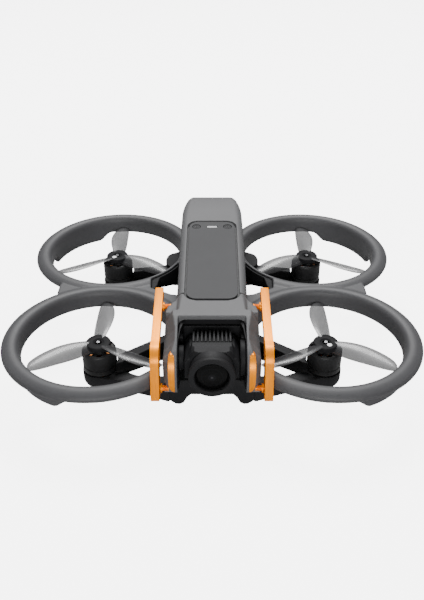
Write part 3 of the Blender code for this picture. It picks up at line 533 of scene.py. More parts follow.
LOOKS = {
    "guard": moulded("moulded_grey_guard", (0.05, 0.05, 0.053), 0.56, edges=1.15),
    "shell": moulded("moulded_grey_shell", (0.098, 0.098, 0.101), 0.55, edges=1.1, shine=0.22),
    "plate": moulded("satin_grey_plate", (0.04, 0.04, 0.042), 0.55, 2600.0, 0.00003, 0.2, 1.0, 0.15),
    "frame": moulded("moulded_black_frame", (0.013, 0.013, 0.014), 0.6, edges=1.3, shine=0.12),
    # The groove look is a near-black sheet of painted shade for the floor of the plate's groove.
    "groove": moulded("groove_painted_shade", (0.012, 0.012, 0.013), 0.6, edges=1.0),
    "camera": moulded("camera_black", (0.01, 0.01, 0.011), 0.6, 2200.0, 0.00004, 0.25, 1.3, 0.16),
    "soft_black": moulded("sensor_black", (0.008, 0.008, 0.009), 0.6, 2600.0, 0.00004, 0.2, 1.0, 0.15),
    "hub": moulded("propeller_hub_black", (0.007, 0.007, 0.008), 0.6, 2200.0, 0.00004, 0.2, 1.2, 0.1),
    "battery": moulded("battery_grey", (0.04, 0.04, 0.043), 0.55, edges=1.2),
    "motor": satin_metal("motor_black", (0.03, 0.03, 0.031), 0.38, (0.05, 0.05, 1.0),
                         metallic=0.3),
    "orange": satin_metal(
        "orange_anodised", (0.95, 0.285, 0.0), 0.42, (1.0, 0.06, 0.06), 1500.0, metallic=0.45
    ),
    "steel": satin_metal("screw_steel", (0.3, 0.3, 0.31), 0.3, (1.0, 1.0, 0.1)),
    "alloy": satin_metal("plain_aluminium", (0.62, 0.62, 0.64), 0.32, (0.06, 1.0, 1.0)),
    "prop": smoked("smoked_propeller", (0.03, 0.03, 0.032), 0.35, 0.8),
    "clear": moulded("clear_light", (0.42, 0.42, 0.43), 0.25, 1800.0, 0.00002, 0.1, 1.0),
    # White look used only for the painted highlight dot on the hubs.
    "white": moulded("white_mark", (0.9, 0.9, 0.9), 0.4, 1800.0, 0.00002, 0.1, 1.0),
    "board": circuit("board_green", (0.012, 0.075, 0.035)),
    "copper": windings("stator_copper", (0.62, 0.26, 0.1)),
    "lens": rings(
        "camera_lens_glass", TILT, 1,
        # The pale middle band, out to 0.5 mm, is a painted reflection in the glass.
        [(0.0, (0.05, 0.05, 0.052)), (0.5, (0.02, 0.02, 0.022)), (0.9, (0.003, 0.003, 0.004)),
         (1.6, (0.006, 0.006, 0.007)), (1.9, (0.002, 0.002, 0.002)), (4.6, (0.001, 0.001, 0.001)),
         (4.8, (0.005, 0.005, 0.006)), (5.1, (0.001, 0.001, 0.001)), (8.0, (0.001, 0.001, 0.001))],
        0.05, 0.0,
    ),
    "eye": rings(
        "belly_lens_glass", (0, 0, 0), 2,
        [(0.0, (0.01, 0.01, 0.015)), (60.0, (0.006, 0.006, 0.007))],
        0.06, 0.5,
    ),
}


# ---- guards
LIP_THICK = 1.5
WEB_HOLE_R = 43.4
SKIRT_DROP, SKIRT_FROM, SKIRT_TO, THROAT_FOOT = 5.2, 102.5, 168.0, 25.6


def guard_profile():
    """Bell-mouth section: plumb throat wall, rolled crest, falling outer slope and rounded lip."""
    inner = [(39.15, 24.6), (39.2, 27.4), (39.25, 30.0), (39.4, 31.8), (40.0, 33.3),
             (41.2, CREST - 0.3), (42.9, CREST + 0.1), (44.5, CREST - 0.1), (46.3, CREST - 0.9),
             (47.7, CREST - 2.0), (48.3, CREST - 3.2), (48.0, CREST - 4.4), (46.4, CREST - 5.8),
             (44.0, 27.6), (42.4, 26.6), (42.0, 25.4)]
    foot = [(41.8, 24.5), (41.4, 24.3), (39.8, 24.25), (39.3, 24.35)]
    return flow(inner, 4, loop=False) + foot


def ramp(value):
    """Smooth step from 0 to 1."""
    value = min(max(value, 0.0), 1.0)
    return value * value * (3 - 2 * value)


def duct_ring(name, centre, outward_y):
    """Ring about a rotor whose throat wall reaches down in a skirt on its outer diagonal."""
    rows = []
    steps = 216
    profile = guard_profile()
    for i in range(steps):
        c, s = math.cos(2 * math.pi * i / steps), math.sin(2 * math.pi * i / steps)
        angle = math.degrees(math.atan2(s * outward_y, -c)) % 360
        drop = SKIRT_DROP * ramp((angle - SKIRT_FROM) / 12.0) * (1 - ramp((angle - SKIRT_TO) / 3.0))
        rows.append([(centre[0] + r * c, centre[1] + r * s, z - drop if z < THROAT_FOOT else z)
                     for r, z in profile])
    return skin(name, rows, loop=True, ring=True)


def make_guard():
    """Two rings, the web between them and the flange to the body, as one soft-edged moulding."""
    front, rear = (ROTOR_X, -ROTOR_Y), (ROTOR_X, ROTOR_Y)
    web = [(86.3, -4.3), (86.3, 4.3), (80.0, 16.0), (36.0, 14.0), (34.3, 9.0), (34.3, 1.0),
           (27.0, -3.0), (22.4, -5.8), (18.5, -6.2), (18.5, -24.0), (36.0, -14.0), (80.0, -16.0)]
    plate = prism("web", web, 29.4, CREST - 1.3, "Z")
    cut(plate, *[rod("hole", WEB_HOLE_R, 0, 60, (*spot, 0), steps=160) for spot in (front, rear)])
    pieces = [duct_ring("ring_front", front, -1), duct_ring("ring_rear", rear, 1), plate]
    lip_gap = arc(rear, 49.5, 234.5, 200.0, 24) + arc(rear, 38.0, 200.0, 234.5, 24)
    gap = arc(rear, 42.6, 236.0, 205.0, 24)
    gap += [(15.0, 26.0), (15.0, -2.0), (27.0, -2.6), (34.4, 1.4)]
    for piece in pieces:
        cut(
            piece,
            prism("trim_lip", lip_gap, 0, CREST - LIP_THICK, "Z"),
            prism("trim_gap", gap, -1, 60, "Z"),
            block("trim_body", (0, -60, -2), (FRAME_HALF_W + 0.3, 90, 61)),
            block("trim_cheek", (0, -100, -3), (BAR_OUT + 0.3, -42, 62)),
        )
    both(melt("fine_guard_left", pieces, 0.5, 8), "guard", "airframe", "guard_grey", angle=0)


def make_bracket():
    """Curved wall under the guard's thin lip, with a foot along the edge of the web."""
    rear = (ROTOR_X, ROTOR_Y)
    foot = [(33.5, 11.2), (33.6, 9.3), (34.3, 8.2), (34.3, 2.2), (32.6, 1.8), (31.0, 5.0)]
    outline = arc(rear, 40.0, 203.5, 232.5, 20) + foot + arc(rear, 43.6, 229.0, 207.5, 20)
    wall = prism("bracket", outline, 19.0, CREST - LIP_THICK + 0.15, "Z")
    below = [(-4.0, 0.0), (-4.0, 30.3), (5.0, 29.0), (13.7, 25.4), (19.0, 23.3), (24.0, 21.7),
             (40.0, 20.3), (40.0, 0.0)]
    above = [(-4.0, 31.8), (3.0, 31.8), (9.5, 34.0), (9.5, 40.0), (-4.0, 40.0)]
    cut(
        wall,
        prism("under", below, -60, 60, "X"),
        prism("over", above, -60, 60, "X"),
        block("body_side", (0, -60, -1), (FRAME_HALF_W - 0.6, 90, 61)),
    )
    both(melt("fine_guard_bracket_left", [wall], 0.3, 5), "frame", "airframe", "frame_black",
         angle=0)


# ---- arms
CUP_R, CUP_LOW, CUP_TOP = 9.3, 4.0, 12.8
FRONT_ARM_TOP, REAR_ARM_TOP = (22.9, 16.9), (21.8, 17.1)
ARM_ROOT_X = FRAME_HALF_W - 1.0


def arm_seat(y):
    profile = [(0, CUP_TOP - 3.6), (7.8, CUP_TOP - 3.6), (7.8, CUP_TOP), (CUP_R, CUP_TOP),
               (CUP_R, CUP_LOW + 3.2), (CUP_R - 0.25, CUP_LOW + 2.1), (CUP_R - 0.9, CUP_LOW + 1.0),
               (CUP_R - 1.9, CUP_LOW + 0.3), (CUP_R - 3.1, CUP_LOW), (0, CUP_LOW)]
    return revolve("seat", profile, 96, centre=(ROTOR_X, y, 0))


def arm_room(y):
    return (
        rod("bell_room", BELL_R + 0.45, CUP_TOP - 0.4, 60, (ROTOR_X, y, 0)),
        rod("seat_room", 7.8, CUP_TOP - 3.6, 40, (ROTOR_X, y, 0)),
    )


def arm_slope(tops):
    """Cutter over a strut whose top falls from the body to the motor."""
    inner, outer = tops
    return prism("slope", [(10.0, inner + 1.0), (60.0, outer), (60.0, 60.0), (10.0, 60.0)],
                 -90, 90, "Y")


def finish_arm(end, y, parts):
    parts = [cut(part, *arm_room(y)) for part in parts]
    arm = melt(f"fine_arm_{end}_left", [arm_seat(y), *parts], 0.36, 6)
    both(arm, "frame", "airframe", "frame_black", angle=0)


def make_front_arm():
    """Tall strut back to the body, flat strut forward to the chin, and a post by the motor."""
    upper = [(49.0, -41.0), (51.5, -47.2), (46.0, -47.5), (ARM_ROOT_X, -29.6),
             (ARM_ROOT_X, -23.6)]
    lower = [(58.5, -53.5), (40.7, -56.6), (31.9, -58.6), (23.6, -60.6), (21.5, -60.8),
             (21.5, -51.5), (38.5, -51.0), (46.0, -47.0), (52.0, -44.0)]
    stem = [(46.0, -47.8), (46.0, -41.2), (50.0, -40.2), (50.0, -48.8)]
    belly = [(0.0, -5.0), (0.0, 2.0), (23.6, 2.8), (32.0, 4.4), (41.0, 5.4), (60.0, 6.2),
             (60.0, -5.0)]
    high = cut(prism("high", upper, 9.8, 26.0, "Z"), arm_slope(FRONT_ARM_TOP))
    low = cut(prism("low", fillet(lower, 2.0), 1.8, CUP_TOP - 0.4, "Z"),
              prism("belly", belly, -90, 90, "Y"))
    post = cut(prism("post", stem, CUP_LOW + 2, 26.0, "Z"), arm_slope(FRONT_ARM_TOP))
    finish_arm("front", -ROTOR_Y, (high, low, post))
    light = rod("arm_light_left", 0.75, 0.0, 0.5, (46.4, -43.6, 18.4), steps=32)
    bevel(light, 0.15, 2)
    wear(light, "orange", "airframe", "orange")


def make_rear_arm():
    """Straight strut to the body with a tall rounded root beside the battery bay."""
    high = cut(prism("high", [(ARM_ROOT_X, 42.2), (50.0, 42.2), (50.0, 46.8), (ARM_ROOT_X, 46.8)],
                     10.0, 26.0, "Z"), arm_slope(REAR_ARM_TOP))
    low = prism(
        "low",
        fillet([(55.0, 38.0), (55.0, 52.0), (38.0, 49.0), (ARM_ROOT_X, 52.0), (ARM_ROOT_X, 37.0),
                (38.0, 40.0)], 4.0),
        7.4, CUP_TOP - 0.4, "Z",
    )
    underside = [(10.0, 0.0), (10.0, 11.6), (27.0, 10.8), (38.0, 7.4), (38.0, 0.0)]
    cut(low, prism("underside", underside, 30, 60, "Y"))
    root = prism(
        "root",
        flow([(ARM_ROOT_X, 37.0), (23.5, 37.4), (27.2, 39.8), (28.6, 45.6), (27.4, 51.6),
              (23.5, 55.0), (ARM_ROOT_X, 56.2)], 6),
        11.8, 24.9, "Z",
    )
    finish_arm("rear", ROTOR_Y, (high, low, root))


# ---- rotors
PROP_Z = (span("propeller_front_left")[0].z + span("propeller_front_left")[1].z) / 2 - 0.2
HUB_LOW, HUB_HIGH, HUB_R, NECK_R = 26.6, 29.4, 6.5, 3.6
BLADES, WINDOWS = 3, 9


def bell_mesh():
    """Motor bell: rolled shoulder, open windows in its top and turned bands round its foot."""
    top, low = BELL_TOP, BELL_LOW.z
    foot = 13.2
    outside = [(0, top), (3.3, top), (BELL_R - 1.5, top), (BELL_R - 0.9, top - 0.12),
               (BELL_R - 0.35, top - 0.5), (BELL_R - 0.08, top - 1.0), (BELL_R, top - 1.6),
               (BELL_R, foot + 3.6), (BELL_R - 0.2, foot + 3.4), (BELL_R - 0.2, foot + 3.1),
               (BELL_R, foot + 2.9), (BELL_R, foot + 0.4), (BELL_R - 0.3, foot), (7.9, foot)]
    inside = [(7.9, foot + 0.8), (7.5, foot + 0.8), (7.5, top - 1.4), (1.1, top - 1.4),
              (1.1, low), (0, low)]
    bell = revolve("bell", outside + inside, 120)
    windows = []
    for i in range(WINDOWS):
        window = prism("window", rounded((4.4, -1.35), (7.9, 1.35), 0.9, 6), -2.5, 1.0, "Z")
        window.data.transform(Matrix.Translation(Vector((0, 0, top)) * MM))
        window.data.transform(Matrix.Rotation(2 * math.pi * i / WINDOWS, 4, "Z"))
        windows.append(window)
    cut(bell, *windows)
    bevel(bell, 0.1, 2, 50.0)
    return bell


def blade_rows(hand):
    """Cambered sections along a blade: (radius, chord, sweep, pitch in degrees)."""
    stations = [(3.0, 6.4, 0.0, 25), (7.0, 8.2, -0.2, 25), (12.0, 9.8, -0.6, 23),
                (18.0, 10.6, -0.9, 20), (24.0, 10.3, -0.9, 16), (30.0, 9.2, -0.5, 13),
                (34.5, 7.4, 0.1, 10), (36.8, 5.2, 0.7, 9), (37.8, 2.6, 1.3, 8),
                (37.95, 0.6, 1.6, 8)]
    rows = []
    for r, chord, sweep, pitch in flow(stations, 5, loop=False):
        thick = 0.075 * chord + 0.32
        section = []
        for k in range(12):
            t = k / 11
            along = -0.5 + t
            up = thick * (4 * t * (1 - t)) ** 0.6 + 0.05 * chord * 4 * t * (1 - t)
            section.append((along, up))
        for k in range(10, 0, -1):
            t = k / 11
            section.append((-0.5 + t, 0.05 * chord * 4 * t * (1 - t)))
        tilt = math.radians(pitch)
        row = []
        for along, up in section:
            across = along * chord + sweep
            y = (across * math.cos(tilt) + up * math.sin(tilt)) * hand
            z = PROP_Z - across * math.sin(tilt) + up * math.cos(tilt)
            row.append((r, y, z))
        rows.append(row)
    return rows


def blade_mesh(hand):
    """Three blades, thin and twisted, with their roots inside the hub."""
    blades = []
    for index in range(BLADES):
        blade = skin("blade", blade_rows(hand))
        blade.data.transform(Matrix.Rotation(index * 2 * math.pi / BLADES + math.pi / 2, 4, "Z"))
        blades.append(blade)
    return gather("blades", blades)


def hub_mesh():
    """Flat hub with a dished middle, on the neck that clears the bell."""
    profile = [(0, HUB_HIGH - 0.5), (2.3, HUB_HIGH - 0.5), (2.6, HUB_HIGH - 0.15),
               (3.0, HUB_HIGH), (HUB_R - 0.9, HUB_HIGH), (HUB_R - 0.35, HUB_HIGH - 0.2),
               (HUB_R, HUB_HIGH - 0.7), (HUB_R, HUB_LOW + 0.4), (HUB_R - 0.4, HUB_LOW),
               (NECK_R, HUB_LOW), (NECK_R, BELL_TOP + 0.3), (0, BELL_TOP + 0.3)]
    return revolve("hub", profile, 96)


def make_rotors():
    bell = bell_mesh()
    blades = {hand: blade_mesh(hand) for hand in (1, -1)}
    hub = hub_mesh()
    cap = revolve("cap", [(0, 29.2), (0.9, 29.2), (0.9, 28.9), (1.9, 28.9), (2.1, 28.7),
                          (2.1, 28.4), (0, 28.4)], 48)
    sources = [bell, hub, cap, *blades.values()]
    for corner, (sx, sy) in CORNERS.items():
        hand = sx * sy
        spot = Vector((sx * ROTOR_X, sy * ROTOR_Y, 0)) * MM
        made = [
            (bell, "fine_motor_bell_", "motor", "motor_black", ["motor_bell_"]),
            (blades[hand], "fine_propeller_", "prop", "prop_smoke", ["propeller_"]),
            (hub, "propeller_hub_", "hub", "prop_smoke", []),
            (cap, "propeller_screw_", "steel", "plain_aluminium", []),
        ]
        # A white dot on the hubs of one hand is a painted highlight, standing in for the glint on the
        # hub's screw.
        if hand < 0:
            dot = rod("dot", 1.25, HUB_HIGH - 0.2, HUB_HIGH + 0.1, (sx * 1.5, -2.9, 0), steps=40)
            made.append((dot, "balance_mark_", "white", "light_clear", []))
            sources.append(dot)
        for source, prefix, look, slot, nodes in made:
            piece = new_object(prefix + corner, source.data.copy())
            piece.location = spot
            wear(piece, look, "rotor_" + corner, slot, *(n + corner for n in nodes), angle=32.0)
    for source in sources:
        bpy.data.objects.remove(source)


# ---- body
def lay_on_top(obj):
    """Tip a piece built about Z = 0 onto the sloping top surface."""
    tilt = Matrix.Rotation(TOP_SLOPE, 4, "X")
    obj.data.transform(Matrix.Translation(Vector((0, 0, top_z(0))) * MM) @ tilt)
    return obj


def top_slab(name, margin, low, high):
    half = PLATE_HALF_W + margin
    outline = rounded((-half, PLATE_FRONT - margin), (half, PLATE_REAR + margin),
                      PLATE_CORNER_R + margin, 16)
    return lay_on_top(prism(name, outline, low, high, "Z"))


def shoulder(top, narrow, drop, low, inset=0.0):
    """Right half of the top block's cross-section, from the flat top down its side."""
    bends = [(13.4 - narrow, top), (15.9 - narrow * 0.9, top),
             (17.4 - narrow * 0.55, top - 1.5 - drop * 0.7),
             (17.85 - narrow * 0.1, top - 6.0 - drop)]
    points = []
    for step in range(15):
        t = step / 14
        weights = ((1 - t) ** 3, 3 * t * (1 - t) ** 2, 3 * t * t * (1 - t), t ** 3)
        points.append(tuple(sum(w * p[axis] for w, p in zip(weights, bends)) for axis in (0, 1)))
    points.append((17.9, low))
    return [(x - inset, z - (inset if z > low else 0)) for x, z in points]


def full_row(half, y):
    return [(x, y, z) for x, z in half] + [(-x, y, z) for x, z in reversed(half)]


def make_top_shell():
    rear = span("top_shell")[1].y
    stations = [(SEAM_Y + 0.3, 0.0, 0.0), (-20.0, 0.0, 0.0), (0.0, 0.0, 0.0), (20.0, 0.0, 0.0),
                (34.0, 0.0, 0.0), (44.0, 0.5, 0.4), (50.0, 1.0, 1.0), (54.0, 1.7, 1.9),
                (rear, 2.6, 3.0)]
    outer, inner = [], []
    for y, narrow, drop in stations:
        top = top_z(y) - drop * 0.25
        outer.append(full_row(shoulder(top, narrow, drop, SHELL_LOW), y))
        reach = -6 if y < -30 else (6 if y > 57 else 0)
        inner.append(full_row(shoulder(top, narrow, drop, SHELL_LOW - 5, 2.1), y + reach))
    shell = skin("fine_top_shell", outer)
    cut(shell, skin("hollow", inner), top_slab("recess", PLATE_GROOVE, -1.8, 4))
    flat_faces(shell)
    bevel(shell, 0.3, 3, 35.0)
    wear(shell, "shell", "airframe", "shell_grey", "top_shell", angle=30.0)
    # A near-black sheet on the groove's floor paints the shade in the gap round the plate.
    floor = top_slab("plate_groove", PLATE_GROOVE - 0.05, -1.95, -1.55)
    wear(floor, "groove", "airframe", "plate_grey")


def make_top_plate():
    plate = top_slab("fine_top_plate", 0.0, -1.2, -0.1)
    tools = [rod("button_hole", 2.4, -9, 9, (x, BUTTON_Y, 0)) for x in (-BUTTON_X, BUTTON_X)]
    slot = rounded((-3.1, BUTTON_Y - 1.1), (3.1, BUTTON_Y + 1.1), 0.5)
    tools.append(prism("slot", slot, -9, 9, "Z"))
    cut(plate, *[lay_on_top(tool) for tool in tools])
    flat_faces(plate)
    bevel(plate, 0.22, 3, 35.0)
    wear(plate, "plate", "airframe", "plate_grey", "top_plate", angle=18.0)


def make_top_marks():
    """Two press buttons with plain ring marks, and the status light between them."""
    low, high = -0.24, -0.13
    for node, x in (("power_button", -BUTTON_X), ("link_button", BUTTON_X)):
        profile = [(0, -0.22), (1.5, -0.2), (1.85, -0.18), (2.02, -0.26), (2.1, -0.42),
                   (2.1, -1.0), (0, -1.0)]
        button = lay_on_top(revolve("fine_" + node, profile, 64, centre=(x, BUTTON_Y, 0)))
        wear(button, "plate", node, "plate_grey", node, angle=50.0)
        section = [(1.05, low), (1.4, low), (1.4, high - 0.01), (1.05, high - 0.01)]
        ring = revolve("ring", section, 64, True, (x, BUTTON_Y, 0))
        if x < 0:
            bar = rounded((x - 0.18, BUTTON_Y - 0.9), (x + 0.18, BUTTON_Y + 0.9), 0.17)
            inside = prism("bar", bar, low, high, "Z")
        else:
            inside = rod("bead", 0.42, low, high, (x, BUTTON_Y, 0), steps=32)
        mark = lay_on_top(gather("mark_" + node, [ring, inside]))
        wear(mark, "frame", node, "frame_black")
    light = prism("fine_status_light", rounded((-2.8, BUTTON_Y - 0.8), (2.8, BUTTON_Y + 0.8), 0.35),
                  -1.0, -0.2, "Z")
    lay_on_top(light)
    bevel(light, 0.12, 2)
    wear(light, "clear", "airframe", "light_clear", "status_light")


NOSE_EDGE = [(-64.0, 51.6), (-70.0, 49.6), (-76.0, 47.0), (-80.0, 43.6), (-82.0, 39.0),
             (-82.2, 33.0), (-81.6, 28.6), (-79.6, 25.4), (-75.0, 21.6)]
CHEEK_FACE = [(-77.0, 20.0), (-79.9, 25.4), (-81.9, 28.6), (-82.4, 33.0), (-82.2, 39.0),
              (-80.2, 43.6), (-76.2, 47.0), (-70.2, 49.6)]
POSTS = [((low.y + high.y) / 2, (low.z + high.z) / 2) for low, high in
         (span("bumper_post_left_upper"), span("bumper_post_left_lower"))]
POST_HOLE_R = 1.8


def edge_rows():
    """Wedge falling outward from a cheek's ridge, followed round the nose in side view."""
    facing = [8.0, 12.0, 26.0, 22.0, 32.0, 55.0, 80.0, 95.0, 112.0, 130.0, 145.0]
    ridges = [18.0, 17.6, 17.4, 17.4, 18.8, 20.2, 20.6, 20.6, 20.0, 19.0, 19.0]
    drops = [13.0, 14.0, 14.0, 13.0, 10.0, 7.0, 6.0, 5.5, 5.5, 5.5, 5.0]
    reach = 24.8
    rows = []
    for (y, z), turn, ridge, drop in zip([(-53.0, 56.7), (-57.0, 56.5)] + NOSE_EDGE,
                                         facing, ridges, drops):
        out_y, out_z = -math.sin(math.radians(turn)), math.cos(math.radians(turn))
        rows.append([(x, y + out_y * lift, z + out_z * lift) for x, lift in
                     ((ridge, 6.0), (ridge, 0.0), (reach, -drop), (reach, 6.0))])
    return rows


def make_front_cowl():
    frame_top = 46.3
    nose = -57.0
    side = [(SEAM_Y, frame_top), (SEAM_Y, top_z(SEAM_Y)), (nose, top_z(nose)), *NOSE_EDGE,
            (-70.0, 19.0), (-66.0, 17.5), (-46.0, 17.5), (-46.0, frame_top)]
    plan = [(17.8, SEAM_Y), (18.0, -41.5), (20.6, -43.6), (21.9, -46.5), (22.8, -52.0),
            (CHEEK_OUT, -60.0), (CHEEK_OUT, -76.0), (21.6, -82.5)]
    whole = plan + [(-x, y) for x, y in reversed(plan)]
    cowl = prism("cowl", fillet(side, 1.2), -CHEEK_OUT - 2, CHEEK_OUT + 2, "X")
    keep(cowl, prism("plan", fillet(whole, 1.0), 0, 80, "Z"))
    roof_under = top_z(nose) - 2.6
    tools = []
    for s in SIDES.values():
        edge = shoulder(top_z(SEAM_Y), 0.0, 0.0, 45.0)[::-1]
        edge = [(x, z) for x, z in edge if z > 52.2] + [(13.4, 80.0), (40.0, 80.0), (40.0, 52.2)]
        tools.append(prism("shoulder", [(x * s, z) for x, z in edge], -52.0, SEAM_Y + 5, "Y"))
        taper = [(18.6, 80.0), (18.6, 55.2), (20.0, 52.8), (22.2, 49.6), (24.2, 46.6),
                 (40.0, 46.0), (40.0, 80.0)]
        tools.append(prism("taper", [(x * s, z) for x, z in taper], -90.0, -51.9, "Y"))
        foot = [(24.6, 43.0), (23.0, 39.0), (21.9, 31.0), (19.8, 27.2), (17.0, 25.4), (17.0, 10.0),
                (30.0, 10.0), (30.0, 43.0)]
        tools.append(prism("foot", [(x * s, z) for x, z in foot], -90.0, -76.5, "Y"))
        tools.append(rod("duct", THROAT_R + 0.5, 0, CREST + 0.5, (s * ROTOR_X, -ROTOR_Y, 0),
                         steps=128))
        for y, z in POSTS:
            tools.append(rod("post_hole", POST_HOLE_R, *sorted((s * 20, s * 30)), (0, y, z), "X", 32))
    mouth = [(-CHEEK_IN, 0.0), (CHEEK_IN, 0.0), (CHEEK_IN, roof_under - 3.2),
             (CHEEK_IN - 1.0, roof_under - 1.0), (CHEEK_IN - 3.2, roof_under),
             (3.2 - CHEEK_IN, roof_under), (1.0 - CHEEK_IN, roof_under - 1.0),
             (-CHEEK_IN, roof_under - 3.2)]
    tools.append(prism("cavity", mouth, -100, -51.4, "Y"))
    tools.append(block("ahead", (-CHEEK_IN, -100, 0), (CHEEK_IN, nose, 80)))
    tools.append(block("inside", (-15.6, -48.9, 0), (15.6, SEAM_Y + 5, roof_under)))
    tools.append(top_slab("recess", PLATE_GROOVE, -1.8, 4))
    cut(cowl, *tools)
    edges = [skin("edge", [[(x * s, y, z) for x, y, z in row] for row in edge_rows()])
             for s in SIDES.values()]
    cut(cowl, *edges)
    cowl = melt("fine_front_cowl", [cowl], 0.34, 9)
    wear(cowl, "shell", "airframe", "shell_grey", "front_cowl", angle=0)

    # Near-black sheet laid just inside the cavity's side walls, roof and back, so the whole recess is
    # drawn dark.
    sheet_outline = [(-51.2, 17.9), (-66.0, 18.9), (-70.0, 20.6), (-75.0, 23.3), (-78.8, 26.7),
              (-80.6, 29.6), (-81.1, 33.0), (-80.9, 38.6), (-79.0, 42.8), (-75.3, 45.6),
              (-69.5, 48.2), (-63.5, 50.2), (-56.2, 51.2), (-56.2, 60.0), (-51.2, 60.0)]
    dark_sheet = prism("recess_darkening", sheet_outline, -CHEEK_IN - 0.08, CHEEK_IN + 0.08, "X")
    keep(dark_sheet, prism("mouth", [(x * 1.005, z + 0.05) for x, z in mouth], -100, -51.3, "Y"))
    room = [(x * 0.985, z - 0.25) for x, z in mouth]
    cut(dark_sheet, prism("room", room, -100, -51.65, "Y"))
    wear(dark_sheet, "soft_black", "airframe", "camera_black", angle=30.0)


def make_inserts():
    """Orange strips let into the cheeks' curved front edges."""
    outline = [(17.45, 43.9), (18.0, 45.9), (18.95, 46.5), (19.9, 45.8), (20.3, 43.9),
               (20.2, 32.6), (19.2, 28.9), (17.9, 27.2), (17.45, 29.3)]
    insert = prism("fine_cheek_insert_left", flow(outline, 5), -90, -66, "Y")
    face = flow(CHEEK_FACE, 4, loop=False)
    ahead = [(y - 0.15, z) for y, z in face] + [(-95.0, 60.0), (-95.0, 10.0)]
    behind = [(y + 2.5, z) for y, z in face] + [(-50.0, 60.0), (-50.0, 10.0)]
    cut(insert, prism("ahead", ahead, -40, 40, "X"), prism("behind", behind, -40, 40, "X"))
    flat_faces(insert)
    bevel(insert, 0.4, 4, 40.0)
    both(insert, "orange", "airframe", "orange")


def make_bumpers():
    """Bent flat bars with rounded edges, and the ridged posts that hold them."""
    outline = [(-32.6, 55.0), (-72.0, 50.4)]
    outline += arc((-74.4, 42.0), 8.4, 98.0, 160.0, 14)
    outline += [(-87.0, 26.2), (-77.4, 24.1), (-75.6, 33.6), (-73.4, 40.4), (-68.0, 45.0),
                (-60.0, 47.2), (-33.2, 50.0)]
    bar = prism("fine_bumper_left", fillet(outline, 0.9, 3), BAR_IN, BAR_OUT, "X")
    for y, z in POSTS:
        cut(bar, rod("hole", POST_HOLE_R, 20, 40, (0, y, z), "X", 40))
    flat_faces(bar)
    bevel(bar, 0.4, 3, 35.0)
    both(bar, "orange", "airframe", "orange")
    for level, (y, z) in zip(("upper", "lower"), POSTS):
        profile = [(0, BAR_OUT - 0.4), (0.8, BAR_OUT - 0.4), (0.9, BAR_OUT - 0.2),
                   (1.4, BAR_OUT - 0.2), (1.5, BAR_OUT - 0.4), (1.5, BAR_IN - 0.3),
                   (2.2, BAR_IN - 0.3), (2.3, BAR_IN - 0.5), (2.3, CHEEK_OUT + 0.5),
                   (2.2, CHEEK_OUT + 0.3), (1.5, CHEEK_OUT + 0.3)]
        x = CHEEK_OUT + 0.1
        while x > 20.9:
            profile += [(1.5, x), (1.2, x - 0.25), (1.5, x - 0.5)]
            x -= 0.5
        profile += [(1.5, 20.4), (0, 20.4)]
        post = stand(revolve(f"fine_bumper_post_left_{level}", profile, 48), "X", (0, y, z))
        both(post, "orange", "airframe", "orange")


# ---- camera
FIN_FRONT, FIN_COUNT, FIN_STEP = -67.8, 10, 1.95


def make_camera():
    """Tilting camera: rounded housing, fins, stepped lens barrel and coated front glass."""
    low, high = span("camera_housing")
    front, rear, top = low.y, high.y, high.z
    half = high.x
    side = [(front, low.z + 1.5), (front, top - 4.4), (front + 4.6, top), (FIN_FRONT - 0.4, top),
            (FIN_FRONT - 0.4, top - 3.4), (rear, top - 3.4), (rear, low.z + 3.0),
            (rear - 3.0, low.z), (front + 1.5, low.z)]
    housing = prism("housing", fillet(side, 0.5), -half, half, "X")
    for s in SIDES.values():
        corner = [(9.5, top + 1), (9.5, top - 0.2), (10.4, top - 3.0), (half + 0.1, top - 6.5),
                  (half + 4, top - 6.5), (half + 4, top + 1)]
        cut(housing, prism("corner", [(x * s, z) for x, z in corner], -90, -40, "Y"))
    collar = stand(revolve("collar", [(0, 0), (12.4, 0), (12.4, 7.0), (11.2, 8.2), (0, 8.2)], 128),
                   "Y", TILT)
    keep(collar, block("collar_room", (-half, front - 0.4, low.z), (half, rear, top - 0.2)))
    housing = melt("fine_camera_housing", [housing, collar], 0.24, 5)
    wear(housing, "camera", "camera", "camera_black", "camera_housing", angle=0)

    fins = [block("base", (-9.3, FIN_FRONT, top - 3.1), (9.3, rear - 0.4, top - 2.3))]
    for index in range(FIN_COUNT):
        x = (index - (FIN_COUNT - 1) / 2) * FIN_STEP
        fin = block("fin", (x - 0.45, FIN_FRONT + 0.1, top - 2.6), (x + 0.45, rear - 0.5, top))
        fins.append(bevel(fin, 0.15, 2))
    fins = gather("fine_camera_heat_sink", fins)
    wear(fins, "camera", "camera", "camera_black", "camera_heat_sink")

    ring = GLASS_R + 0.3
    barrel = revolve("barrel", [
        (ring, 13.0), (ring, 14.0), (8.0, 15.0), (8.25, 15.7), (8.55, 15.95), (10.5, 15.95),
        (10.95, 15.8), (11.15, 15.45), (11.15, 13.8), (10.95, 13.5), (9.9, 13.4), (9.9, 13.05),
        (10.25, 12.95), (10.35, 12.7), (10.35, 8.3), (4.0, 8.3), (4.0, 12.8)], 160, True)
    stand(barrel, "Y", TILT)
    wear(barrel, "camera", "camera", "camera_black", "lens_barrel", angle=35.0)
    dome = [(0, 15.35), (1.5, 15.32), (3.0, 15.2), (4.6, 14.98), (6.0, 14.7), (7.2, 14.35),
            (GLASS_R - 0.2, 14.1), (GLASS_R, 13.9), (GLASS_R, 13.1), (0, 13.1)]
    glass = stand(revolve("fine_lens_glass", dome, 128), "Y", TILT)
    wear(glass, "lens", "camera", "lens_glass", "lens_glass", angle=35.0)


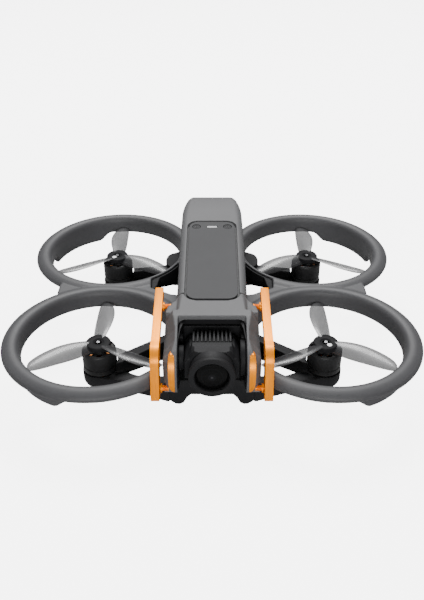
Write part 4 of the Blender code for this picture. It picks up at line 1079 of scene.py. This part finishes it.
def make_gimbal():
    """Yoke behind the camera, with a ringed tilt motor and a bearing at its ends."""
    low, high = span("gimbal_yoke")
    outline = [(-15.9, -51.8), (15.9, -51.8), (15.9, -66.0), (14.0, -66.0), (14.0, -53.8),
               (-14.0, -53.8), (-14.0, -66.0), (-15.9, -66.0)]
    yoke = prism("yoke", fillet(outline, 0.9), low.z, high.z, "Z")
    cut(yoke, rod("room", 9.0, -20, 20, TILT, "X", 96))
    wear(melt("fine_gimbal_yoke", [yoke], 0.25, 5), "camera", "airframe", "camera_black",
         "gimbal_yoke", angle=0)
    start, end = 13.4, 16.0
    for node, side, radius in (("gimbal_motor", "left", 8.6), ("gimbal_pivot", "right", 6.0)):
        profile = [(0, end), (radius - 0.5, end), (radius, end - 0.4), (radius, start + 0.6),
                   (radius - 0.3, start)]
        r = radius - 1.2
        while r > 1.6:
            profile += [(r, start), (r - 0.15, start + 0.35), (r - 0.5, start + 0.35),
                        (r - 0.65, start)]
            r -= 1.5
        profile.append((0, start))
        disc = stand(revolve("fine_" + node, profile, 96), "X", TILT)
        pin = rod("yoke_pin_" + side, 0.55, 14.2, 16.2, (0, -57.0, 45.0), "X", 32)
        if side == "right":
            reflect(disc.data)
            reflect(pin.data)
        wear(disc, "soft_black", "airframe", "sensor_black", node, angle=30.0)
        wear(pin, "alloy", "airframe", "plain_aluminium")


# ---- battery and rear
def make_battery_tail():
    tail_low, tail_high = span("battery_tail")
    stations = [(tail_low.y, 60.9, 16.8, 26.6), (62.0, 59.0, 16.8, 26.6), (66.0, 56.8, 16.8, 26.6),
                (71.0, 53.8, 16.4, 26.9), (76.0, 50.4, 15.7, 27.5), (79.6, 47.9, 14.6, 28.6),
                (81.4, 46.6, 13.4, 29.8), (tail_high.y, 45.4, 12.2, 31.2)]
    rows = []
    for y, top, half_w, low in stations:
        bends = [(half_w - 6.0, top), (half_w - 3.0, top - 0.6), (half_w - 0.9, top - 4.4),
                 (half_w, top - 13.0), (half_w, low + 3.0), (half_w - 0.7, low + 0.8),
                 (half_w - 2.6, low)]
        rows.append(full_row(flow(bends, 4, loop=False), y))
    tail = skin("tail", rows)
    low, high = span("battery_case")
    tools = [
        block("case", (low.x - 0.4, 50, 0), (high.x + 0.4, 59.8, high.z + 0.3)),
        block("frame", (-40, 50, 0), (40, 59.8, 46.6)),
    ]
    for s in SIDES.values():
        start, end = sorted((s * 13.0, s * 20.0))
        tools.append(block("latch", (start, 63.0, 36.0), (end, 73.0, 44.0)))
    cut(tail, *tools)
    tail = melt("fine_battery_tail", [tail], 0.4, 5)
    wear(tail, "shell", "battery", "shell_grey", "battery_tail", angle=0)

    low, high = span("battery_latch_left")
    grip = [block("grip", low, high)]
    bevel(grip[0], 0.3, 3)
    for index in range(4):
        y = low.y + 1.7 + index * 2.0
        grip.append(rod("rib", 0.42, low.z + 0.9, high.z - 0.9, (high.x - 0.1, y, 0), steps=24))
    both(gather("fine_battery_latch_left", grip), "frame", "latch_left", "frame_black")


# ---- carried-over CAD nodes
def refine(node, look, width):
    """Keep a CAD node's mesh, with its edges rounded and a better material."""
    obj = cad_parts[node]
    weld = obj.modifiers.new("Weld", "WELD")
    weld.merge_threshold = 0.000002
    flat = obj.modifiers.new("Flat", "DECIMATE")
    flat.decimate_type = "DISSOLVE"
    flat.angle_limit = math.radians(0.8)
    round_edges(obj, width, 2, 35.0)
    paint(obj, look)


def make_small_parts():
    nodes = [("lower_frame", "frame", 0.45), ("belly_cover", "soft_black", 0.3),
             ("battery_case", "battery", 0.2), ("battery_socket", "soft_black", 0.25),
             ("heat_spreader", "alloy", 0.25), ("main_board", "board", 0.1),
             ("esc_board", "board", 0.1), ("usb_port", "alloy", 0.15),
             ("range_sensor", "soft_black", 0.2), ("belly_light", "clear", 0.1),
             ("vision_lens_front", "eye", 0.1), ("vision_lens_rear", "eye", 0.1)]
    nodes += [("motor_stator_" + corner, "copper", 0.1) for corner in CORNERS]
    for node, look, width in nodes:
        refine(node, look, width)


for make in (make_guard, make_bracket, make_front_arm, make_rear_arm, make_rotors, make_top_shell,
             make_top_plate, make_top_marks, make_front_cowl, make_inserts, make_bumpers,
             make_camera, make_gimbal, make_battery_tail, make_small_parts):
    make()


# ---- stage, light and camera
FLOOR_GLOW, SKY_LIGHT = 5.5, 0.07  # what the camera sees, and what lights the object
VIEW_PLACE, VIEW_PITCH, VIEW_LENS = (0.0, -0.3355, 0.248), 56.43, 42.53


def make_stage():
    bm = bmesh.new()
    bmesh.ops.create_circle(bm, cap_ends=True, segments=96, radius=4.0)
    floor = from_bmesh(bm, "floor")
    r = Recipe("floor_white", (0.4, 0.4, 0.4), 0.9)
    r.give("Specular IOR Level", 0.1)
    r.give("Emission Color", (1.0, 1.0, 1.0, 1.0))
    seen = r.add("ShaderNodeLightPath").outputs["Is Camera Ray"]
    glow = r.add("ShaderNodeMath", Value=seen)
    glow.operation = "MULTIPLY"
    glow.inputs[1].default_value = FLOOR_GLOW
    r.link(glow.outputs[0], "Emission Strength")
    floor.data.materials.append(r.material)


def soft_light(name, place, aim, size, power):
    data = bpy.data.lights.new(name, "AREA")
    data.shape = "RECTANGLE"
    data.size, data.size_y = size
    data.energy = power
    lamp = new_object(name, data)
    lamp.location = place
    lamp.rotation_euler = (Vector(aim) - Vector(place)).to_track_quat("-Z", "Y").to_euler()


def make_light():
    world = bpy.data.worlds.new("studio")
    world.use_nodes = True
    tree = world.node_tree
    sky = tree.nodes["Background"]
    sky.inputs["Color"].default_value = (1.0, 1.0, 1.0, 1.0)
    seen = tree.nodes.new("ShaderNodeLightPath").outputs["Is Camera Ray"]
    level = tree.nodes.new("ShaderNodeMapRange")
    level.inputs["To Min"].default_value = SKY_LIGHT
    level.inputs["To Max"].default_value = FLOOR_GLOW
    tree.links.new(seen, level.inputs["Value"])
    tree.links.new(level.outputs["Result"], sky.inputs["Strength"])
    bpy.context.scene.world = world
    soft_light("overhead", (0.0, 0.55, 0.97), (0, 0, 0), (0.8, 0.5), 26.0)
    soft_light("front_fill", (0.0, -1.1, 0.4), (0, 0, 0.03), (0.7, 0.3), 13.0)
    soft_light("left_box", (-0.9, 0.1, 0.5), (0, 0, 0.03), (0.3, 0.5), 0.8)
    soft_light("right_box", (0.9, 0.1, 0.5), (0, 0, 0.03), (0.3, 0.5), 0.8)


def make_camera_view():
    data = bpy.data.cameras.new("view")
    data.lens = VIEW_LENS
    data.sensor_width = 36.0
    data.clip_start = 0.01
    camera = new_object("view", data)
    camera.location = VIEW_PLACE
    camera.rotation_euler = (math.radians(VIEW_PITCH), 0.0, 0.0)
    bpy.context.scene.camera = camera


make_stage()
make_light()
make_camera_view()
